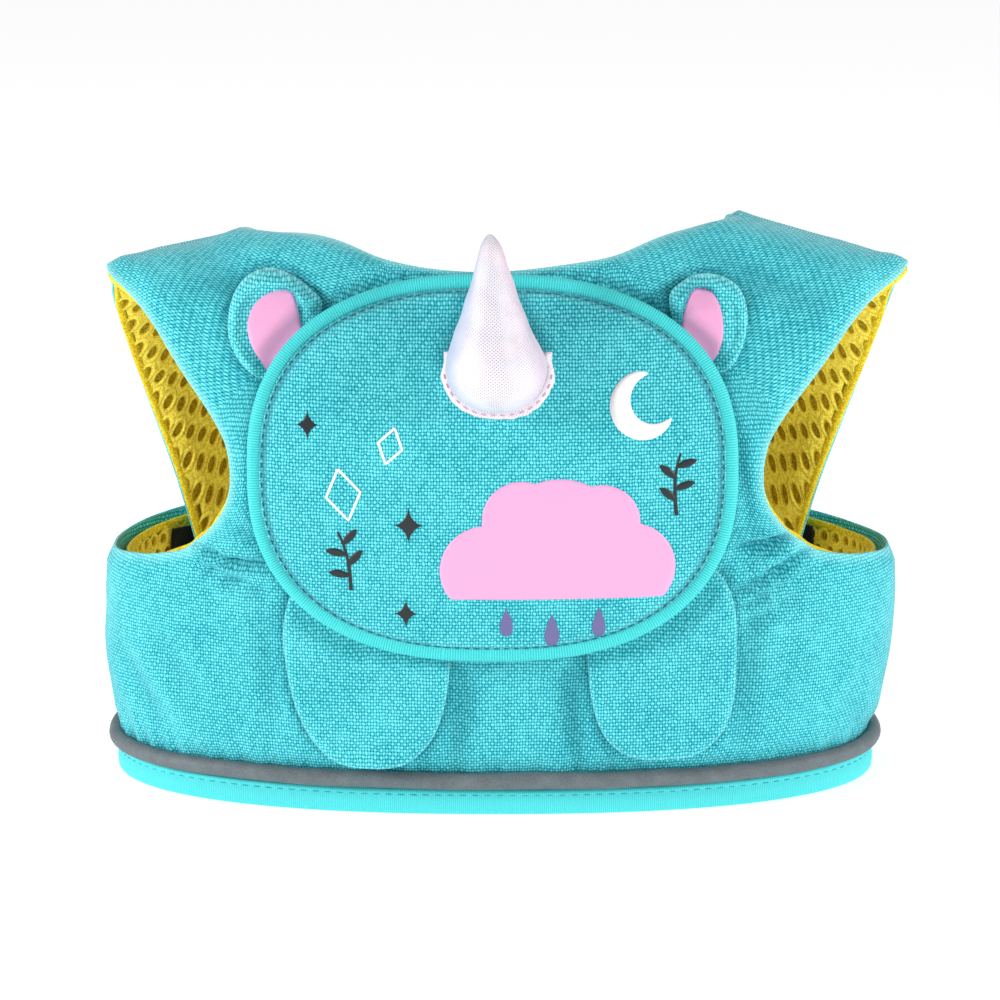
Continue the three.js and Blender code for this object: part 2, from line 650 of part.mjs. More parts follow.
// How squarely the front faces the viewer, from 0 to 1.
function facing(x, z) {
  const slopeX = (frontY(x + SLOPE_STEP, z) - frontY(x - SLOPE_STEP, z)) / (2 * SLOPE_STEP);
  const slopeZ = (frontY(x, z + SLOPE_STEP) - frontY(x, z - SLOPE_STEP)) / (2 * SLOPE_STEP);
  return 1 / Math.hypot(1, slopeX, slopeZ);
}

// A point that far ahead of the body's front, measured square to it.
const ahead = (x, z, gap) => new THREE.Vector3(x, frontY(x, z) - gap / facing(x, z), z);

// A pad over an outline, a function of the turn round it that gives x and z. Rear and front are
// functions of x, z and the share from the centre to the edge.
function pad(centre, outline, { sides, rings }, rear, front) {
  const points = [];
  for (const face of [front, rear]) {
    points.push(ahead(centre.x, centre.z, face(centre.x, centre.z, 0)));
    for (let r = 1; r <= rings; r++) {
      for (let k = 0; k < sides; k++) {
        const edge = outline((2 * Math.PI * k) / sides);
        const share = r / rings;
        const x = mix(centre.x, edge.x, share);
        const z = mix(centre.z, edge.z, share);
        points.push(ahead(x, z, face(x, z, share)));
      }
    }
  }
  const half = points.length / 2;
  const at = (ring, k) => 1 + (ring - 1) * sides + (k % sides);
  const triangles = [];
  for (let k = 0; k < sides; k++) {
    triangles.push([0, at(1, k), at(1, k + 1)], [half, half + at(1, k + 1), half + at(1, k)]);
    for (let r = 1; r < rings; r++) {
      const [a, b, c, d] = [at(r, k), at(r + 1, k), at(r + 1, k + 1), at(r, k + 1)];
      triangles.push([a, b, c], [a, c, d], [half + c, half + b, half + a], [half + d, half + c, half + a]);
    }
    const [a, b] = [at(rings, k), at(rings, k + 1)];
    triangles.push([a, half + a, half + b], [a, half + b, b]);
  }
  return geometryFrom(points, triangles);
}

// The flap's outline, drawn in by an inset: 0 is to the right, and it goes round anticlockwise as seen
// from the front.
function flapOutline(turn, inset) {
  const x = power(Math.cos(turn), 2 / FLAP_SQUARENESS);
  const z = power(Math.sin(turn), 2 / FLAP_SQUARENESS);
  return {
    x: FLAP_CENTRE_X + (FLAP_HALF_WIDTH - inset) * x,
    z: FLAP_CENTRE_Z + (FLAP_HALF_HEIGHT - inset) * z,
  };
}

// How far behind its back the flap leaves the bib. Its top edge is sewn down.
function flapStandoff(x, z) {
  const up = (z - FLAP_CENTRE_Z) / FLAP_HALF_HEIGHT;
  const across = Math.abs(x - FLAP_CENTRE_X) / FLAP_HALF_WIDTH;
  const high = smooth(FLAP_SEAM.fromHeight, FLAP_SEAM.toHeight, up);
  const middle = 1 - smooth(FLAP_SEAM.fromReach, FLAP_SEAM.toReach, across);
  return mix(FLAP_STANDOFF, GAP, high * middle);
}

// How far out from the flap's middle a place is, as a share of the way to its edge.
function flapShare(x, z) {
  const across = Math.abs(x - FLAP_CENTRE_X) / FLAP_HALF_WIDTH;
  const up = Math.abs(z - FLAP_CENTRE_Z) / FLAP_HALF_HEIGHT;
  return (across ** FLAP_SQUARENESS + up ** FLAP_SQUARENESS) ** (1 / FLAP_SQUARENESS);
}

// Distance of the flap's face ahead of the bib.
function flapFace(x, z) {
  const share = clamp01(flapShare(x, z)) ** FLAP_SQUARENESS;
  return flapStandoff(x, z) + FLAP_WALL + FLAP_DOME * (1 - share) ** FLAP_FULLNESS;
}

function flap() {
  const centre = { x: FLAP_CENTRE_X, z: FLAP_CENTRE_Z };
  const outline = (turn) => flapOutline(turn, 2 * FLAP_BINDING_RADIUS + GAP);
  return pad(centre, outline, GRIDS.flap, flapStandoff, flapFace);
}

function flapBinding() {
  const { sides, steps } = GRIDS.flapBinding;
  const centres = Array.from({ length: steps }, (_, k) => {
    const turn = (2 * Math.PI * k) / steps;
    const at = flapOutline(turn, FLAP_BINDING_RADIUS);
    const inner = flapOutline(turn, 2 * FLAP_BINDING_RADIUS);
    const gap = flapStandoff(at.x, at.z) + FLAP_BINDING_RADIUS;
    const point = ahead(at.x, at.z, gap);
    const v = ahead(at.x, at.z, gap + 1).sub(point).normalize();
    const u = point.clone().sub(ahead(inner.x, inner.z, gap)).normalize();
    return { point, u: v, v: u };
  });
  return tube(centres, FLAP_BINDING_RADIUS, sides, true);
}

// An oval outline with its long axis tilted from upright.
function ovalOutline({ x, z, along, across, tilt }, squareness) {
  const lean = THREE.MathUtils.degToRad(tilt);
  return (turn) => {
    const a = along * power(Math.sin(turn), 2 / squareness);
    const b = across * power(Math.cos(turn), 2 / squareness);
    return { x: x + b * Math.cos(lean) - a * Math.sin(lean), z: z + b * Math.sin(lean) + a * Math.cos(lean) };
  };
}

// A place given as shares of the flap's half width and half height from its middle.
function onFlap(x, z) {
  return { x: FLAP_CENTRE_X + x * FLAP_HALF_WIDTH, z: FLAP_CENTRE_Z + z * FLAP_HALF_HEIGHT };
}

// Face of a padded piece that comes out from behind the flap: thin where it is tucked in.
function tuckedFace(wall) {
  return (x, z, share) => {
    const free = smooth(1 - FLAP_EDGE.behind, 1 + FLAP_EDGE.beyond, flapShare(x, z));
    return GAP + TUCKED_WALL + (wall - TUCKED_WALL) * free * (1 - share ** PAD_FLATNESS) ** 0.5;
  };
}

function ear(side) {
  const shape = { ...EARS[side], ...onFlap(EARS[side].x, EARS[side].z) };
  const outline = ovalOutline(shape, EAR_SQUARENESS);
  const inside = (turn) => {
    // The end behind the flap is drawn in so that it stays where the flap leaves room
    const at = outline(turn);
    const deep = clamp01((1 - flapShare(at.x, at.z) - EAR_TUCK_ZONE.start) / EAR_TUCK_ZONE.span);
    return { x: mix(at.x, shape.x, EAR_TUCK * deep), z: mix(at.z, shape.z, EAR_TUCK * deep) };
  };
  return pad(shape, inside, GRIDS.ear, () => GAP, tuckedFace(EAR_WALL));
}

function earInner(side) {
  const shape = { ...EAR_INNERS[side], ...onFlap(EAR_INNERS[side].x, EAR_INNERS[side].z) };
  const behind = { ...EARS[side], ...onFlap(EARS[side].x, EARS[side].z) };
  const base = tuckedFace(EAR_WALL);
  const edge = ovalOutline(behind, EAR_SQUARENESS)(0);
  const earReach = PATCH_SWELL.reach * Math.hypot(edge.x - behind.x, edge.z - behind.z);
  const rear = (x, z) => {
    const share = clamp01(Math.hypot(x - behind.x, z - behind.z) / earReach);
    return base(x, z, share * PATCH_SWELL.share) + EAR_INNER_GAP;
  };
  const outline = ovalOutline(shape, EAR_INNER_SQUARENESS);
  const { beyond, steps, step, aim } = PATCH_CLEARANCE;
  const clear = (turn) => {
    let at = outline(turn);
    for (let k = 0; k < steps && flapShare(at.x, at.z) < 1 + beyond; k++) {
      at = { x: mix(at.x, shape.x + Math.sign(shape.x) * aim, step), z: mix(at.z, shape.z + aim, step) };
    }
    return at;
  };
  return pad(shape, clear, GRIDS.earInner, rear, (x, z) => rear(x, z) + EAR_INNER_WALL);
}

function leg(side) {
  const { x, tilt } = LEGS[side];
  const place = { x: onFlap(x, 0).x, z: LEG_MIDDLE_HEIGHT };
  const shape = { ...place, tilt, along: LEG_HALF_HEIGHT, across: LEG_HALF_WIDTH };
  const outline = ovalOutline(shape, LEG_SQUARENESS);
  const pipingTop = BINDING_HEIGHT + 2 * PIPING_RADIUS + 2 * GAP;
  const lift = (z) => (2 * PIPING_RADIUS + PIPING_GAP) * smooth(pipingTop + LEG_FOOT, pipingTop, z);
  const face = tuckedFace(LEG_WALL);
  const rear = (atX, atZ) => GAP + lift(atZ);
  const front = (atX, atZ, share) => face(atX, atZ, share) + lift(atZ);
  return pad(shape, outline, GRIDS.leg, rear, front);
}

// The horn, whose flat base is sewn to the flap

// The horn at a share of its height: the middle of its section where that is widest, the half width,
// and how far it reaches from there to the front and to the back. Its lower part has a flat back.
function hornSection(share) {
  const z = HORN_BASE_Z + HORN_HEIGHT * share;
  const width = HORN_HALF_WIDTH * lookUp(HORN_SECTIONS, 'up', 'width', share);
  const depth = HORN_HALF_DEPTH * lookUp(HORN_SECTIONS, 'up', 'depth', share);
  const x = HORN_BASE_X + HORN_TILT * share;
  const sewn = ahead(x, Math.min(z, HORN_BASE_Z + HORN_HEIGHT * HORN_SEWN), 0);
  const face = flapFace(x, sewn.z) / facing(x, sewn.z);
  const rise = Math.max(0, share - HORN_SEWN) / (1 - HORN_SEWN);
  const back = depth * mix(HORN_BACK, 1, rise);
  const front = depth * mix(2 - HORN_BACK, 1, rise);
  const y = sewn.y - face - HORN_GAP - back + (HORN_LEAN - HORN_HALF_DEPTH * HORN_BACK) * rise;
  return { x, y, z, width, front, back };
}

function horn() {
  const { sides } = GRIDS.horn;
  return loft(
    HORN_SECTIONS.map(({ up }) => {
      const { x, y, z, width, front, back } = hornSection(up);
      return Array.from({ length: sides }, (_, k) => {
        const turn = (2 * Math.PI * k) / sides;
        const reach = Math.sin(turn) > 0 ? back : front;
        return new THREE.Vector3(x + width * Math.cos(turn), y + reach * Math.sin(turn), z);
      });
    }),
  );
}

function hornHem() {
  const { sides, steps } = GRIDS.hornHem;
  const clear = HORN_HEM_RADIUS + GAP;
  const centres = Array.from({ length: steps + 1 }, (_, k) => {
    const turn = mix(Math.PI, 2 * Math.PI, k / steps);
    const x = HORN_BASE_X + (HORN_HALF_WIDTH + clear) * power(Math.cos(turn), 2 / HORN_HEM_SQUARENESS);
    const top = HORN_BASE_Z + HORN_HEIGHT * HORN_SEWN;
    const z = top + (HORN_HEIGHT * HORN_SEWN + clear) * power(Math.sin(turn), 2 / HORN_HEM_SQUARENESS);
    const point = ahead(x, z, flapFace(x, z) + clear);
    return { point, turn };
  });
  return tube(
    centres.map(({ point }, k) => {
      const before = centres[Math.max(0, k - 1)].point;
      const after = centres[Math.min(steps, k + 1)].point;
      const along = after.clone().sub(before).normalize();
      const v = new THREE.Vector3(0, -1, 0);
      const u = new THREE.Vector3().crossVectors(v, along).normalize();
      return { point, u, v: new THREE.Vector3().crossVectors(along, u) };
    }),
    HORN_HEM_RADIUS,
    sides,
  );
}

// The belt

const beltDepth = WALL + LINING_GAP + LINING_WALL + GAP;

function webbing(side) {
  const centreZ = WEBBING_TOP - WEBBING_WIDTH / 2;
  const start = side * backAngle(WEBBING_REACH, centreZ);
  const end = side * backAngle(BUCKLE.width / 2 - BUCKLE_GRIP * BUCKLE.socket, centreZ);
  const low = WEBBING_TOP - WEBBING_WIDTH;
  const profile = [
    { depth: beltDepth + WEBBING_WALL, z: low },
    { depth: beltDepth + WEBBING_WALL, z: WEBBING_TOP },
    { depth: beltDepth, z: WEBBING_TOP },
    { depth: beltDepth, z: low },
  ];
  return side > 0 ? strip(start, end, WEBBING_STEPS, profile) : strip(end, start, WEBBING_STEPS, profile);
}

// Geometry as a solid that can be cut, and back.
const MERGE_DISTANCE = 1e-4;
const wasm = await Module();
wasm.setup();

function solid(geometry) {
  const bare = new THREE.BufferGeometry().setAttribute('position', geometry.getAttribute('position'));
  if (geometry.index) bare.setIndex(geometry.index);
  const merged = mergeVertices(bare.index ? bare.toNonIndexed() : bare, MERGE_DISTANCE);
  return new wasm.Manifold(
    new wasm.Mesh({
      numProp: 3,
      vertProperties: merged.getAttribute('position').array,
      triVerts: new Uint32Array(merged.index.array),
    }),
  );
}

function geometryOf(manifold) {
  const mesh = manifold.getMesh();
  const geometry = new THREE.BufferGeometry();
  geometry.setAttribute('position', new THREE.BufferAttribute(mesh.vertProperties, 3));
  return geometry.setIndex(new THREE.BufferAttribute(mesh.triVerts, 1));
}

// The fastened buckle: one rounded block with a socket at each end for the webbing.
function buckle() {
  const { width, height, depth, corner, socket } = BUCKLE;
  const outline = new THREE.Shape();
  const [w, h] = [width / 2, height / 2];
  outline.moveTo(-w + corner, -h);
  outline.lineTo(w - corner, -h).quadraticCurveTo(w, -h, w, -h + corner);
  outline.lineTo(w, h - corner).quadraticCurveTo(w, h, w - corner, h);
  outline.lineTo(-w + corner, h).quadraticCurveTo(-w, h, -w, h - corner);
  outline.lineTo(-w, -h + corner).quadraticCurveTo(-w, -h, -w + corner, -h);
  const body = new THREE.ExtrudeGeometry(outline, { depth, bevelEnabled: false, curveSegments: 4 });
  body.translate(0, 0, -depth / 2);
  const slotWidth = WEBBING_WIDTH + 2 * GAP;
  const slotDepth = WEBBING_WALL + 2 * GAP + SOCKET_ROOM;
  const cut = new THREE.BoxGeometry(2 * socket, slotWidth, slotDepth);
  let made = solid(body);
  for (const end of [-w, w]) made = made.subtract(solid(cut.clone().translate(end, 0, 0)));
  const geometry = geometryOf(made);
  geometry.rotateX(Math.PI / 2);
  const z = WEBBING_TOP - WEBBING_WIDTH / 2;
  const [station] = roundBody(() => z, 180, 180, 1);
  return geometry.translate(0, station.point.y - beltDepth - WEBBING_WALL / 2 - BUCKLE_INSET, z);
}

// Colours, roughness and metalness
const MATERIALS = {
  cover: { color: 0x35c4d0, roughness: 0.85, metalness: 0 },
  lining: { color: 0xd8b61e, roughness: 0.8, metalness: 0 },
  binding: { color: 0x38d3cf, roughness: 0.7, metalness: 0 },
  reflective: { color: 0x6f7579, roughness: 0.45, metalness: 0.1 },
  satin: { color: 0xf0e4ee, roughness: 0.4, metalness: 0 },
  pink: { color: 0xf9b3e0, roughness: 0.6, metalness: 0 },
  webbing: { color: 0x14161a, roughness: 0.8, metalness: 0 },
  plastic: { color: 0x17191c, roughness: 0.4, metalness: 0 },
};

const PIECES = [
  ['cover', cover(), 'cover'],
  ['mesh_lining', lining(), 'lining'],
  ['hem_binding', hemBinding(), 'binding'],
  ['reflective_piping', reflectivePiping(), 'reflective'],
  ['flap', flap(), 'cover'],
  ['flap_binding', flapBinding(), 'binding'],
  ['horn', horn(), 'satin'],
  ['horn_hem', hornHem(), 'satin'],
  ['ear_left', ear('left'), 'cover'],
  ['ear_right', ear('right'), 'cover'],
  ['ear_inner_left', earInner('left'), 'pink'],
  ['ear_inner_right', earInner('right'), 'pink'],
  ['leg_left', leg('left'), 'cover'],
  ['leg_right', leg('right'), 'cover'],
  ['webbing_left', webbing(-1), 'webbing'],
  ['webbing_right', webbing(1), 'webbing'],
  ['buckle', buckle(), 'plastic'],
];

// The origin goes under the middle of everything.
const box = new THREE.Box3();
for (const [, geometry] of PIECES) {
  geometry.computeBoundingBox();
  box.union(geometry.boundingBox);
}
const middle = box.getCenter(new THREE.Vector3());

const vest = new THREE.Group();
for (const [name, geometry, material] of PIECES) {
  geometry.translate(-middle.x, -middle.y, -box.min.z);
  const mesh = new THREE.Mesh(geometry, new THREE.MeshStandardMaterial(MATERIALS[material]));
  mesh.name = name;
  vest.add(mesh);
}

export default vest;
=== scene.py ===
"""The looks of the toddler's harness vest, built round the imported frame."""

import math

import bpy
import numpy as np
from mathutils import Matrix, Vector, noise
from mathutils.bvhtree import BVHTree


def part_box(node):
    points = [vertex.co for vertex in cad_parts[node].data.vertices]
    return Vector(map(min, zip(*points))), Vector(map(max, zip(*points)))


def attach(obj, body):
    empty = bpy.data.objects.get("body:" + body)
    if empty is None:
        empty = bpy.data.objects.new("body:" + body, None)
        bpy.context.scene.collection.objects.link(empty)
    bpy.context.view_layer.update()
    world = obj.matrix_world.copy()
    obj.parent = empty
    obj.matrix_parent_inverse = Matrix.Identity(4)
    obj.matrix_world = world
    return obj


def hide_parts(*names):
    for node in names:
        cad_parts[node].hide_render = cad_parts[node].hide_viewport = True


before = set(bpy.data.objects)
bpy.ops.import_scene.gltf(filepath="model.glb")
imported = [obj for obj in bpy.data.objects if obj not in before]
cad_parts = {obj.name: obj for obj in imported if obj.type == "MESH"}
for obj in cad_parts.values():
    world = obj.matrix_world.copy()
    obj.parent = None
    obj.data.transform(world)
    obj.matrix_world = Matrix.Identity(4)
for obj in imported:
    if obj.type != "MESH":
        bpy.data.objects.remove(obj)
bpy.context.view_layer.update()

# Sizes in millimetres, in the body's own frame: the bib faces -Y and the body's middle is at x = y = 0
SHIFT = np.array([-1.1976, 13.8953, 0.0])  # from there to the row frame's origin
OVAL = ARCH = 2.3  # exponents of the curves round the body and over its shoulders
HALF_WIDTH, FRONT, BACK = 130.0, 65.0, 62.0
BAND_HEIGHT, CORNER_HEIGHT, CHEST = 74.0, 85.0, 83.0
SPRING, NECK_HEIGHT, SHOULDER_END = 100.0, 170.0, 165.0
SHOULDER, NECK_HALF, CROWN = 141.0, 75.0, 10.0
RIDGE, REACH = (176.5, 181.5), (124.5, 130.5)  # left and right
STRAP_START_HEIGHT, STRAP_START_REACH = 126.0, 33.0
STRAP_BACK_DEPTH, STRAP_END, STRAP_BLEND, STRAP_ROOM = 50.0, 44.0, 56.0, 3.0
BIB_ANGLE, CORNER_TURN = 42.5, 0.29
WALL, LINING_GAP, LINING_WALL, WEBBING_WALL = 5.0, 0.8, 2.6, 1.5
BINDING, PIPING, WING_END = 8.5, 2.6, 38.0
FLAP_X, FLAP_Z, FLAP_W, FLAP_H = -1.3, 111.5, 75.8, 59.0
FLAP_POWER, FLAP_TUBE = 2.5, 2.6

# Shares of the sizes above, from the photograph; a table's first row is what its others are looked up by
BAND = {
    "up": (0, 0.12, 0.2, 0.27, 0.41, 0.55, 0.7, 0.88, 1),
    "left": (0.946, 0.942, 0.948, 0.96, 0.973, 0.98, 0.982, 0.98, 0.972),
    "right": (0.938, 0.933, 0.938, 0.957, 0.975, 0.987, 0.995, 0.998, 0.994),
    "depth": (0.935, 0.935, 0.945, 0.97, 0.985, 0.995, 1, 1, 1),
}
TOP = {
    "angle": (0, BIB_ANGLE, 47, 54.5, 64, 90, 115, 135, 180),
    "rise": (1, 1, 0.66, 0.4, 0.22, 0, 0.2, 0.38, 0.4),
}
ARMHOLE = {
    "up": (0, CORNER_TURN, 0.4, 0.48, 0.56, 0.65, 0.75, 0.85, 0.93, 0.98, 1),
    "out": (0, 0, 0.03, 0.1, 0.2, 0.33, 0.47, 0.61, 0.76, 0.9, 1),
}
STRAP = {
    "up": (0.25, 0.38, 0.53, 0.72, 0.9, 1),
    "outer": (0.79, 0.805, 0.855, 0.937, 0.985, 1),
    "inner": (0.78, 0.79, 0.83, 0.9, 0.97, 1),
}
# Millimetres by which the straps' outer edges lie further out than an even pair's
PUSH = {
    "up": (0.5, 0.65, 0.75, 0.85, 0.93, 1),
    "left": (0.0, 0.2, 0.7, 1.7, 2.2, 0),
    "right": (-4.2, -3.8, -3.0, -1.6, -0.6, 0),
}
# The neckline's swells: height, place along x and half width
SWELLS = ((2.5, -50, 18), (1.2, 22, 20), (-0.9, 62, 9), (0.6, 0, 40))
# The shoulders' outer tips: half widths, and how far the left and the right one turn up and out
TIP_ACROSS, TIP_ALONG, TIP_UP, TIP_OUT = 5.0, 9.0, (2.3, 3.5), (-0.2, 0.7)
# How much lower the waistband's top lies at the right and the left of the back
BACK_DROP = {"right": 2.6, "left": 0.9}


# Curves


def mix(a, b, t):
    return a + (b - a) * t


def smooth(low, high, value):
    t = np.clip((value - low) / (high - low), 0, 1)
    return t * t * (3 - 2 * t)


def power(value, exponent):
    return np.sign(value) * np.abs(value) ** exponent


def hill(value, centre, width):
    """1 at the centre, falling away to both sides."""
    return np.exp(-(((value - centre) / width) ** 2))


def sided(x, left, right):
    return np.where(np.asarray(x) < 0, left, right)


def unit(v):
    return v / np.maximum(np.linalg.norm(v, axis=-1, keepdims=True), 1e-9)


def full_turn(count):
    return 2 * math.pi * np.arange(count) / count


def look_up(table, column, value):
    """A column of a table at a value of its first one, on a smooth curve through its rows."""
    xs, ys = np.array(table[next(iter(table))], float), np.array(table[column], float)
    v = np.clip(value, xs[0], xs[-1])
    i = np.clip(np.searchsorted(xs, v, side="right") - 1, 0, len(xs) - 2)
    lo, hi = np.maximum(np.arange(len(xs)) - 1, 0), np.minimum(np.arange(len(xs)) + 1, len(xs) - 1)
    slope = (ys[hi] - ys[lo]) / (xs[hi] - xs[lo])
    step = xs[i + 1] - xs[i]
    t = (v - xs[i]) / step
    ease = t * t * (3 - 2 * t) * (ys[i + 1] - ys[i])
    return ys[i] + ease + t * (1 - t) ** 2 * slope[i] * step - t * t * (1 - t) * slope[i + 1] * step


def length_along(path):
    return np.concatenate([[0], np.cumsum(np.linalg.norm(np.diff(path, axis=0), axis=1))])


def noise_at(points, size, seed):
    """Smooth noise from -1 to 1 with features of that size in millimetres."""
    place = points / size + seed * 17.31
    return np.array([noise.noise(Vector(q)) for q in place])


def noise_over(x, z, size, seed):
    return noise_at(np.stack([x, np.zeros_like(x), z], -1), size, seed)


def noise_along(lengths, size, row, column):
    return np.array([noise.noise(Vector((q / size, row, column))) for q in lengths])


# The body's surface


def oval(x, half):
    return (1 - np.clip(np.abs(x) / half, 0, 1) ** OVAL) ** (1 / OVAL)


def half_width(z, x):
    up = z / BAND_HEIGHT
    band = HALF_WIDTH * sided(x, look_up(BAND, "left", up), look_up(BAND, "right", up))
    return mix(band, SHOULDER, smooth(BAND_HEIGHT, SPRING, z))


def depth_share(z):
    return look_up(BAND, "depth", z / BAND_HEIGHT)


def reach(x):
    return sided(x, *REACH)


def neck_ridge(x):
    return mix(*RIDGE, smooth(-NECK_HALF, NECK_HALF, x))


def ridge(x):
    neck = neck_ridge(x)
    across = np.abs(x) / NECK_HALF
    outside = (np.abs(x) - NECK_HALF) / (reach(x) - NECK_HALF)
    return np.where(across < 1, neck + CROWN * (1 - across**2), mix(neck, SHOULDER_END, outside))


def front_y(x, z):
    climb = np.clip((z - SPRING) / (ridge(x) - SPRING), 0, 1)
    return -FRONT * depth_share(z) * (1 - climb**ARCH) ** (1 / ARCH) * oval(x, half_width(z, x))


def band_point(angle, z):
    turn = np.radians(angle)
    depth = np.where(np.cos(turn) > 0, FRONT, BACK) * depth_share(z)
    x = half_width(z, angle) * power(np.sin(turn), 2 / OVAL)
    return np.stack(np.broadcast_arrays(x, -depth * power(np.cos(turn), 2 / OVAL), z), -1)


def back_angle(x, z):
    return 180 - np.degrees(np.arcsin((x / half_width(z, x)) ** (OVAL / 2)))


def band_top(angle):
    """The waistband's upper edge; at the back it lies lower, most of all on the right."""
    top = mix(BAND_HEIGHT, CORNER_HEIGHT, look_up(TOP, "rise", np.abs(angle)))
    return top - BACK_DROP["right"] * smooth(85, 115, angle) - BACK_DROP["left"] * smooth(-85, -110, angle)


def arch_angle(x, z):
    return np.arcsin(np.clip((z - SPRING) / (ridge(x) - SPRING), 0, 1) ** (ARCH / 2))


def arch_height(x, angle):
    return mix(SPRING, ridge(x), np.sin(angle) ** (2 / ARCH))


def bib_corner(side):
    return np.abs(band_point(side * BIB_ANGLE, CORNER_HEIGHT)[..., 0])


def armhole_edge(side, z, inset):
    up = (z - CORNER_HEIGHT) / (SHOULDER_END - CORNER_HEIGHT)
    turn = np.clip(1 - up / CORNER_TURN, 0, 1) ** 2.2
    out = look_up(ARMHOLE, "out", up)
    return CHEST - inset + (reach(side) - CHEST) * out + (bib_corner(side) - CHEST) * turn


def neckline(x, inset):
    return NECK_HEIGHT - inset + 1.6 * (neck_ridge(x) - NECK_HEIGHT) * (x / NECK_HALF) ** 2


def strap_front(side, across, share, inset):
    start = STRAP_START_REACH + inset * 0.5
    neck = arch_angle(side * start, neckline(side * start, inset))
    inner_x = mix(start, NECK_HALF + inset, share**0.75)
    inner_angle = mix(neck, math.pi / 2, share)
    low = math.asin(((STRAP_START_HEIGHT - SPRING) / (SHOULDER_END - SPRING)) ** (ARCH / 2))
    z = mix(SPRING, SHOULDER_END, np.sin(mix(low, math.pi / 2, share)) ** (2 / ARCH))
    outer_x = armhole_edge(side, z, inset)
    outer_angle = np.where(share < 1, arch_angle(side * outer_x, z), math.pi / 2)
    x = side * mix(inner_x, outer_x, across)
    angle = mix(inner_angle, outer_angle, across)
    y = -FRONT * np.abs(np.cos(angle)) ** (2 / ARCH) * oval(x, SHOULDER)
    return np.stack([x, y, arch_height(x, angle)], -1)


def strap_back(side, across, turn, drop, inset):
    angle = np.radians(turn)

    def height(x):
        return np.where(drop > 0, mix(SPRING, STRAP_END + inset, drop), arch_height(x, angle))

    up = height(side * reach(side)) / SHOULDER_END
    push = sided(side, *(np.interp(up, PUSH["up"], PUSH[which]) for which in ("left", "right")))
    outer = reach(side) * look_up(STRAP, "outer", up) - inset + push
    inner = NECK_HALF * look_up(STRAP, "inner", up) + inset
    x = side * mix(inner, outer, across)
    z = height(x)
    layers = WALL + LINING_GAP + LINING_WALL + WEBBING_WALL + STRAP_ROOM
    tuck = 1 - smooth(BAND_HEIGHT + 2, BAND_HEIGHT + STRAP_BLEND, z)
    depth = mix(STRAP_BACK_DEPTH, BACK - layers, tuck)
    half = mix(SHOULDER, HALF_WIDTH - layers, tuck)
    y = depth * np.clip(np.cos(angle), 0, 1) ** (2 / ARCH) * oval(x, half)
    return np.stack([x, y, z], -1)


# The grid over it: columns run round the body, rows from the hem over the shoulders and down the straps

COLUMNS, BIB, NECK = 22, 7, 3
BAND_ROW, BIB_ROW, CREST_ROW, BACK_ROW, END_ROW = 8, 16, 22, 28, 32
LEVEL_ROW = 5  # the row along which the cloth's threads lie level
PER_COLUMN, PER_ROW = 7, 5


def vest_points(cc, rr, inset, drop):
    """Points of the surface, drawn in by inset at its edges and by drop at the waistband's top."""
    side = np.where(cc < 0, -1.0, 1.0)
    a = np.abs(cc)
    wing = back_angle(WING_END + inset, BAND_HEIGHT / 2)

    def band(cols, rows):
        col = np.abs(cols)
        beyond = np.clip((col - BIB) / (COLUMNS - BIB), 0, 1)
        angle = np.sign(cols) * np.where(col <= BIB, BIB_ANGLE * col / BIB, mix(BIB_ANGLE, wing, beyond))
        top = band_top(angle) - drop * smooth(0, 0.2, beyond)
        return band_point(angle, mix(BINDING + 0.3, top, (rows / BAND_ROW) ** 1.5))

    across = np.clip((a - NECK) / (BIB - NECK), 0, 1)
    points = band(cc, np.minimum(rr, BAND_ROW))
    # Bib
    share = np.clip((rr - BAND_ROW) / (BIB_ROW - BAND_ROW), 0, 1)
    foot = band(cc, np.full_like(cc, BAND_ROW))
    neck_x = (STRAP_START_REACH + inset * 0.5) * a / NECK
    strap_top = strap_front(side, across, np.zeros_like(cc), inset)
    mid = a < NECK
    top_x = np.where(mid, side * neck_x, strap_top[..., 0])
    top_z = np.where(mid, neckline(side * neck_x, inset), strap_top[..., 2])
    z = mix(foot[..., 2], top_z, share)
    edge = armhole_edge(side, mix(CORNER_HEIGHT, STRAP_START_HEIGHT, share), inset * share)
    edge_top = np.abs(strap_front(side, np.ones_like(cc), np.zeros_like(cc), inset)[..., 0])
    narrowing = edge / mix(bib_corner(side), edge_top, share)
    x = mix(foot[..., 0], top_x, share) * mix(1, narrowing, np.clip(a / BIB, 0, 1))
    points = np.where((rr > BAND_ROW)[..., None], np.stack([x, front_y(x, z), z], -1), points)
    # Straps, up the front and down the back
    up = strap_front(side, across, np.clip((rr - BIB_ROW) / (CREST_ROW - BIB_ROW), 0, 1), inset)
    points = np.where((rr > BIB_ROW)[..., None], up, points)
    turn = 90 * (1 - np.clip((rr - CREST_ROW) / (BACK_ROW - CREST_ROW), 0, 1))
    fall = np.clip((rr - BACK_ROW) / (END_ROW - BACK_ROW), 0, 1)
    return np.where((rr > CREST_ROW)[..., None], strap_back(side, across, turn, fall, inset), points)


